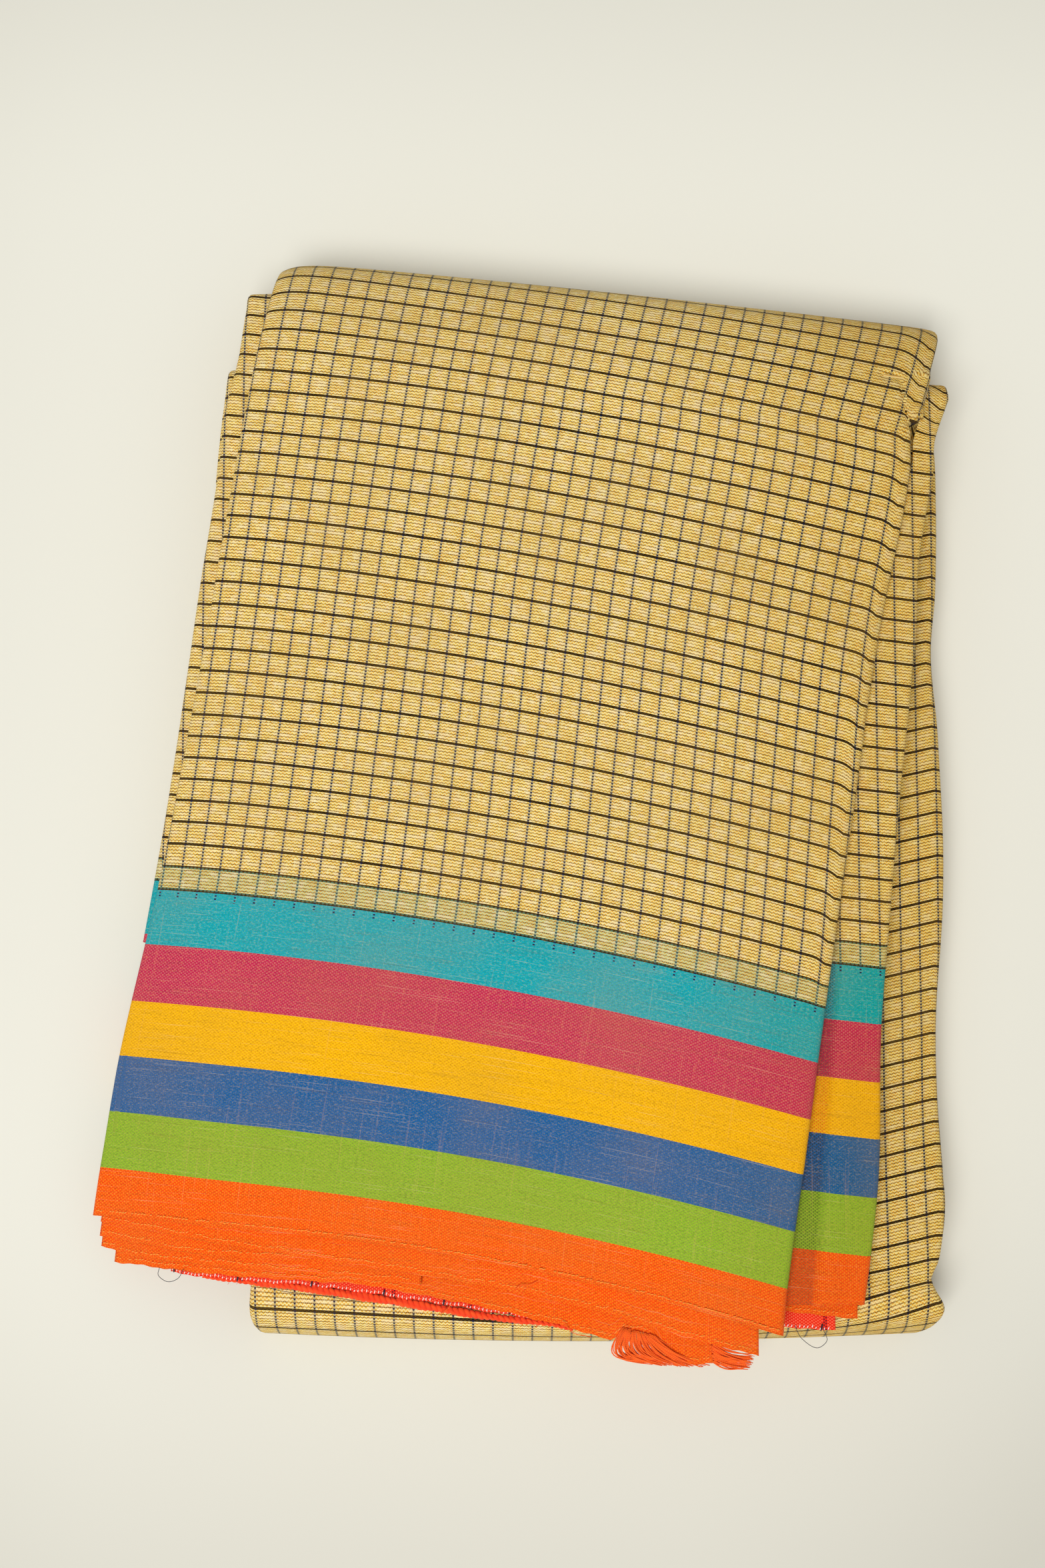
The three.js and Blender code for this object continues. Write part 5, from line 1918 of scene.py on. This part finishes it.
RIGHT_LAYERS = (
    RightLayer("second_right_selvedge", 71.5, 99.8, -155.2, -158.2, 9.4, False),
    RightLayer("far_selvedge_right", 71.5, 93.4, -160.4, -161.8, 10.9, True),
)


@dataclass
class RightSelvedges:
    """The two short selvedge layers under the second fold on the right."""

    finishes: Finishes
    back: float = -141.0

    def build(self) -> None:
        """Makes both."""
        for layer in RIGHT_LAYERS:
            x = np.linspace(layer.left, layer.right, 40)[None, :]
            depth = self.back - layer.face(x, 0.0 * x)[..., 1]
            inwards = depth * np.linspace(0, 1, 20)[:, None]
            grid = Grid(layer.face(x, inwards), stack(x + 1.5, inwards, 0.0)[..., :2])
            material = self.finishes.far if layer.far else self.finishes.handloom
            piece = shell(layer.name + "_cloth", grid, LEAF, material)
            declare(piece, "red_selvedge" if layer.far else "orange_selvedge", layer.name)


@dataclass
class RolledEdge:
    """The far selvedge's rolled edge: two soft strands twisted, thinning to their ends."""

    finishes: Finishes
    path: tuple[tuple[float, float], ...] = (
        (-96, -146.0), (-78, -147.7), (-64, -149.2), (-48, -151.5), (-35, -153.4), (-24, -155.2),
        (-10, -157.5), (1, -158.8), (9, -159.8), (15, -161.2),
    )
    radius: float = 1.3
    turn: float = 3.4

    def build(self) -> None:
        line = smooth_path(self.path, 700)
        x, y = line[:, 0], line[:, 1]
        z = leaf_height(x, y, 4.35) - 0.5
        centre = stack(x, y, z)
        share = np.linspace(0, 1, len(x))
        taper = 0.3 + 0.7 * np.sqrt(np.clip(np.sin(math.pi * np.clip(share, 0.01, 0.99)), 0, 1))
        size = self.radius * taper * (1 + 0.10 * np.sin(share * 46) + 0.06 * np.sin(share * 117 + 1))
        gone = np.concatenate([[0], np.cumsum(np.linalg.norm(np.diff(centre, axis=0), axis=1))])
        side = unit(np.cross(np.array([0, 0, 1.0]), np.gradient(centre, axis=0)))
        strands = []
        for start in (0.0, math.pi):
            angle = 2 * math.pi * gone / self.turn + start
            offset = side * np.cos(angle)[:, None] + np.array([0, 0, 1.0]) * np.sin(angle)[:, None]
            strands.append(tube(centre + offset * (size * 0.46)[:, None], size * 0.62, 8))
        piece = joined("rolled_edge", strands, self.finishes.yarns[Yarn.CORD])
        declare(piece, "red_cord", "rolled_selvedge")
        rng = np.random.default_rng(95)
        hairs = []
        for i in rng.integers(40, 690, 130):
            t = np.linspace(0, 1, 6)[:, None]
            out = np.array([rng.uniform(-1.2, 1.2), rng.uniform(-1.6, 0.9), rng.uniform(-0.2, 1.0)])
            bend = np.array([rng.uniform(-0.8, 0.8), 0, rng.uniform(-0.6, 0.1)])
            path = centre[i] + out * t + bend * t * t
            hairs.append(tube(path, np.full(6, 0.055), 4))
        declare(joined("rolled_edge_fuzz", hairs, self.finishes.yarns[Yarn.CORD]), "red_cord")


@dataclass
class Frays:
    """Where the cut end has come loose: a fan of orange yarns, a smaller tuft, and stray threads."""

    finishes: Finishes
    radius: float = 0.24

    def fan(self, root: Sequence, tips: Sequence, count: int, seed: int, sag: float, bow: float) -> list:
        """Threads from a root line to a line of tips, bowed forwards on their way.

        Args:
            root: the root line's two ends.
            tips: points along which the threads end.
            count: how many threads.
            seed: for their unevenness.
            sag: how far the tips lie below the roots, in millimetres.
            bow: how far the first threads swing out to the left, in millimetres.

        Returns:
            The threads' meshes.
        """
        rng = np.random.default_rng(seed)
        ends = smooth_path(tips, 60)
        t = np.linspace(0, 1, 14)
        made = []
        for share in (np.arange(count) + 0.5) / count:
            start = mix(np.array(root[0]), np.array(root[1]), share) + rng.uniform(-0.4, 0.4, 2)
            end = ends[int(np.clip(share + rng.uniform(-0.12, 0.12), 0, 1) * 59)] + rng.uniform(-0.9, 0.7, 2)
            swing = -bow * np.array([1, 0.36]) * (1 - share) ** 2
            swing = swing - np.array([rng.uniform(0.2, 2.2), rng.uniform(0.1, 1.1)])
            plan = mix(start, end, t[:, None]) + swing * np.sin(math.pi * t)[:, None]
            z = leaf_height(plan[:, 0], np.maximum(plan[:, 1], -166), 3) + 0.5 - sag * t * t
            z = z + rng.uniform(-1.2, 1.0) * np.sin(math.pi * t) + 0.2 * np.sin(t * rng.uniform(4, 9)) * t
            size = self.radius * rng.uniform(0.7, 1.15) * (1 - 0.5 * t ** 3)
            made.append(tube(stack(plan[:, 0], plan[:, 1], z), size, 6))
        return made

    def stray(self, name: str, paths: Sequence, yarn: Yarn, radius: float) -> None:
        """Loose threads along given points, joined and declared.

        Args:
            name: the piece's name.
            paths: each thread's points.
            yarn: its yarn.
            radius: of the thread, in millimetres.
        """
        made = []
        for points in paths:
            line = smooth_path(points, 60)
            made.append(tube(line, np.full(60, radius), 6))
        declare(joined(name, made, self.finishes.yarns[yarn]), "orange_selvedge")

    def build(self) -> None:
        front_tips = ((37.0, -170.2), (42.0, -170.7), (47.0, -171.0), (52.0, -171.2), (56.0, -170.8))
        end_tips = ((68.2, -168.6), (67.6, -170.6), (66.6, -172.4))
        rows = (
            ("frayed_selvedge", ((29.6, -160.4), (39.6, -163.0)), front_tips, 105, 81, 1.4, 5.6),
            ("frayed_end", ((56.0, -164.4), (56.6, -170.2)), end_tips, 40, 82, 1.2, 0.0),
        )
        for name, root, tips, count, seed, sag, bow in rows:
            threads = self.fan(root, tips, count, seed, sag, bow)
            piece = joined(name + "_threads", threads, self.finishes.yarns[Yarn.STRAND])
            declare(piece, "orange_selvedge", name)
        loops = (
            ((-108.3, -143.0, 27.6), (-108.9, -145.6, 25.6), (-106.3, -147.6, 24.4), (-103.2, -146.6, 25.0),
             (-101.2, -143.6, 27.4)),
            ((-80.0, -147.4, 27.0), (-73.0, -150.0, 25.4), (-60.0, -151.6, 25.4), (-48.6, -153.2, 26.2)),
            ((81.2, -160.4, 26.6), (83.4, -164.2, 25.0), (87.9, -167.0, 24.6), (90.9, -164.8, 25.0),
             (89.6, -161.2, 26.4)),
        )
        self.stray("stray_threads", loops, Yarn.STRAY, 0.09)
        ends = (
            ((-2.0, -148.4, 34.6), (-0.6, -147.2, 35.4), (2.4, -147.0, 35.2), (4.4, -146.0, 34.9)),
            ((-20.6, -152.0, 30.6), (-22.0, -154.6, 29.6), (-24.8, -156.8, 28.4)),
            ((12.0, -158.4, 30.4), (15.0, -161.8, 29.6), (20.4, -163.0, 29.4)),
        )
        self.stray("loose_ends", ends, Yarn.STRAND, 0.11)


# ---------------------------------------------------------------- floor, light and camera


@dataclass
class Studio:
    """A pale floor with painted light falloff towards its edges, soft light from above and in front, and the
    camera above.
    """

    camera_place: tuple[float, float, float] = (-0.00015, -0.0615, 0.688)
    tilt: float = 5.6
    floor_colour: Colour = shade(232, 230, 219)
    floor_painted_shade: Colour = shade(203, 200, 189)

    def floor(self) -> None:
        """A wide sheet under the pack, with painted light falloff darkening it towards the edges."""
        mesh = bpy.data.meshes.new("floor")
        half = 3.0
        corners = [(-half, -half, 0), (half, -half, 0), (half, half, 0), (-half, half, 0)]
        mesh.from_pydata([(x, y, -0.0001) for x, y, _ in corners], [], [(0, 1, 2, 3)])
        made = bpy.data.objects.new("floor", mesh)
        s = Shader("pale_floor")
        x, y = s.object_place()
        # painted shade: light falloff, darkest towards the front, then the right, back and left
        front = (1.0 - y.smooth(-340.0, -90.0)) * 1.05
        right = x.smooth(40.0, 260.0) * (1.0 - y.smooth(-260.0, 160.0)) * 0.7
        back = y.smooth(190.0, 330.0) * 0.5
        left = (1.0 - x.smooth(-250.0, -120.0)) * 0.3
        colour = s.blend(front + right + (back + left), self.floor_colour, self.floor_painted_shade)
        mesh.materials.append(s.finish(base_color=colour, roughness=0.9, specular_ior_level=0.1))
        bpy.context.scene.collection.objects.link(made)

    def lamp(self, name: str, place: tuple, aim: tuple, size: float, power: float, tint: tuple) -> None:
        """One soft square lamp aimed at a point.

        Args:
            name: the lamp's name.
            place: where it hangs, in metres.
            aim: what it points at.
            size: its side, in metres.
            power: in watts.
            tint: its colour.
        """
        data = bpy.data.lights.new(name, "AREA")
        data.size = size
        data.energy = power
        data.color = tint
        made = bpy.data.objects.new(name, data)
        made.location = place
        away = np.array(place) - np.array(aim)
        flat = math.hypot(away[0], away[1])
        made.rotation_euler = (math.atan2(flat, away[2]), 0, math.atan2(away[1], away[0]) + math.pi / 2)
        bpy.context.scene.collection.objects.link(made)

    def build(self) -> None:
        """Makes the floor, lights, world and camera."""
        self.floor()
        self.lamp("window", (-0.45, -0.9, 2.42), (0, 0, 0), 1.35, 51.5, (1.0, 0.995, 0.98))
        world = bpy.data.worlds.new("room")
        world.use_nodes = True
        background = world.node_tree.nodes["Background"]
        background.inputs[0].default_value = (0.985, 0.99, 0.96, 1)
        background.inputs[1].default_value = 0.45
        bpy.context.scene.world = world
        data = bpy.data.cameras.new("camera")
        data.sensor_fit = "AUTO"
        data.sensor_width = 36
        data.lens = 50
        made = bpy.data.objects.new("camera", data)
        made.location = self.camera_place
        made.rotation_euler = (math.radians(self.tilt), 0, 0)
        bpy.context.scene.collection.objects.link(made)
        bpy.context.scene.camera = made
        bpy.context.scene.view_settings.view_transform = "Standard"


def main() -> None:
    """Builds the saree and its studio."""
    logging.basicConfig(level=logging.INFO, format="%(name)s %(message)s")
    finishes = Finishes()
    TopStretch(finishes).build()
    LowerStretch(finishes).build()
    SecondRightFold(finishes).build()
    folds = (
        ("left_fold_2", LEFT_FOLD_2, 151.5, 3.9, 2.3, 5.0),
        ("left_fold_3", LEFT_FOLD_3, 128, 8.2, -0.6, 4.5),
    )
    for node, edges, last, drop, reach, turn in folds:
        LeftFold(finishes, node, Course("y edge", edges), edges[0][0], last, drop, reach, turn).build()
    HiddenLayers(finishes).build()
    SelvedgeLeaves(finishes).build()
    RightSelvedges(finishes).build()
    RolledEdge(finishes).build()
    Frays(finishes).build()
    Studio().build()


if __name__ == "__main__":
    main()
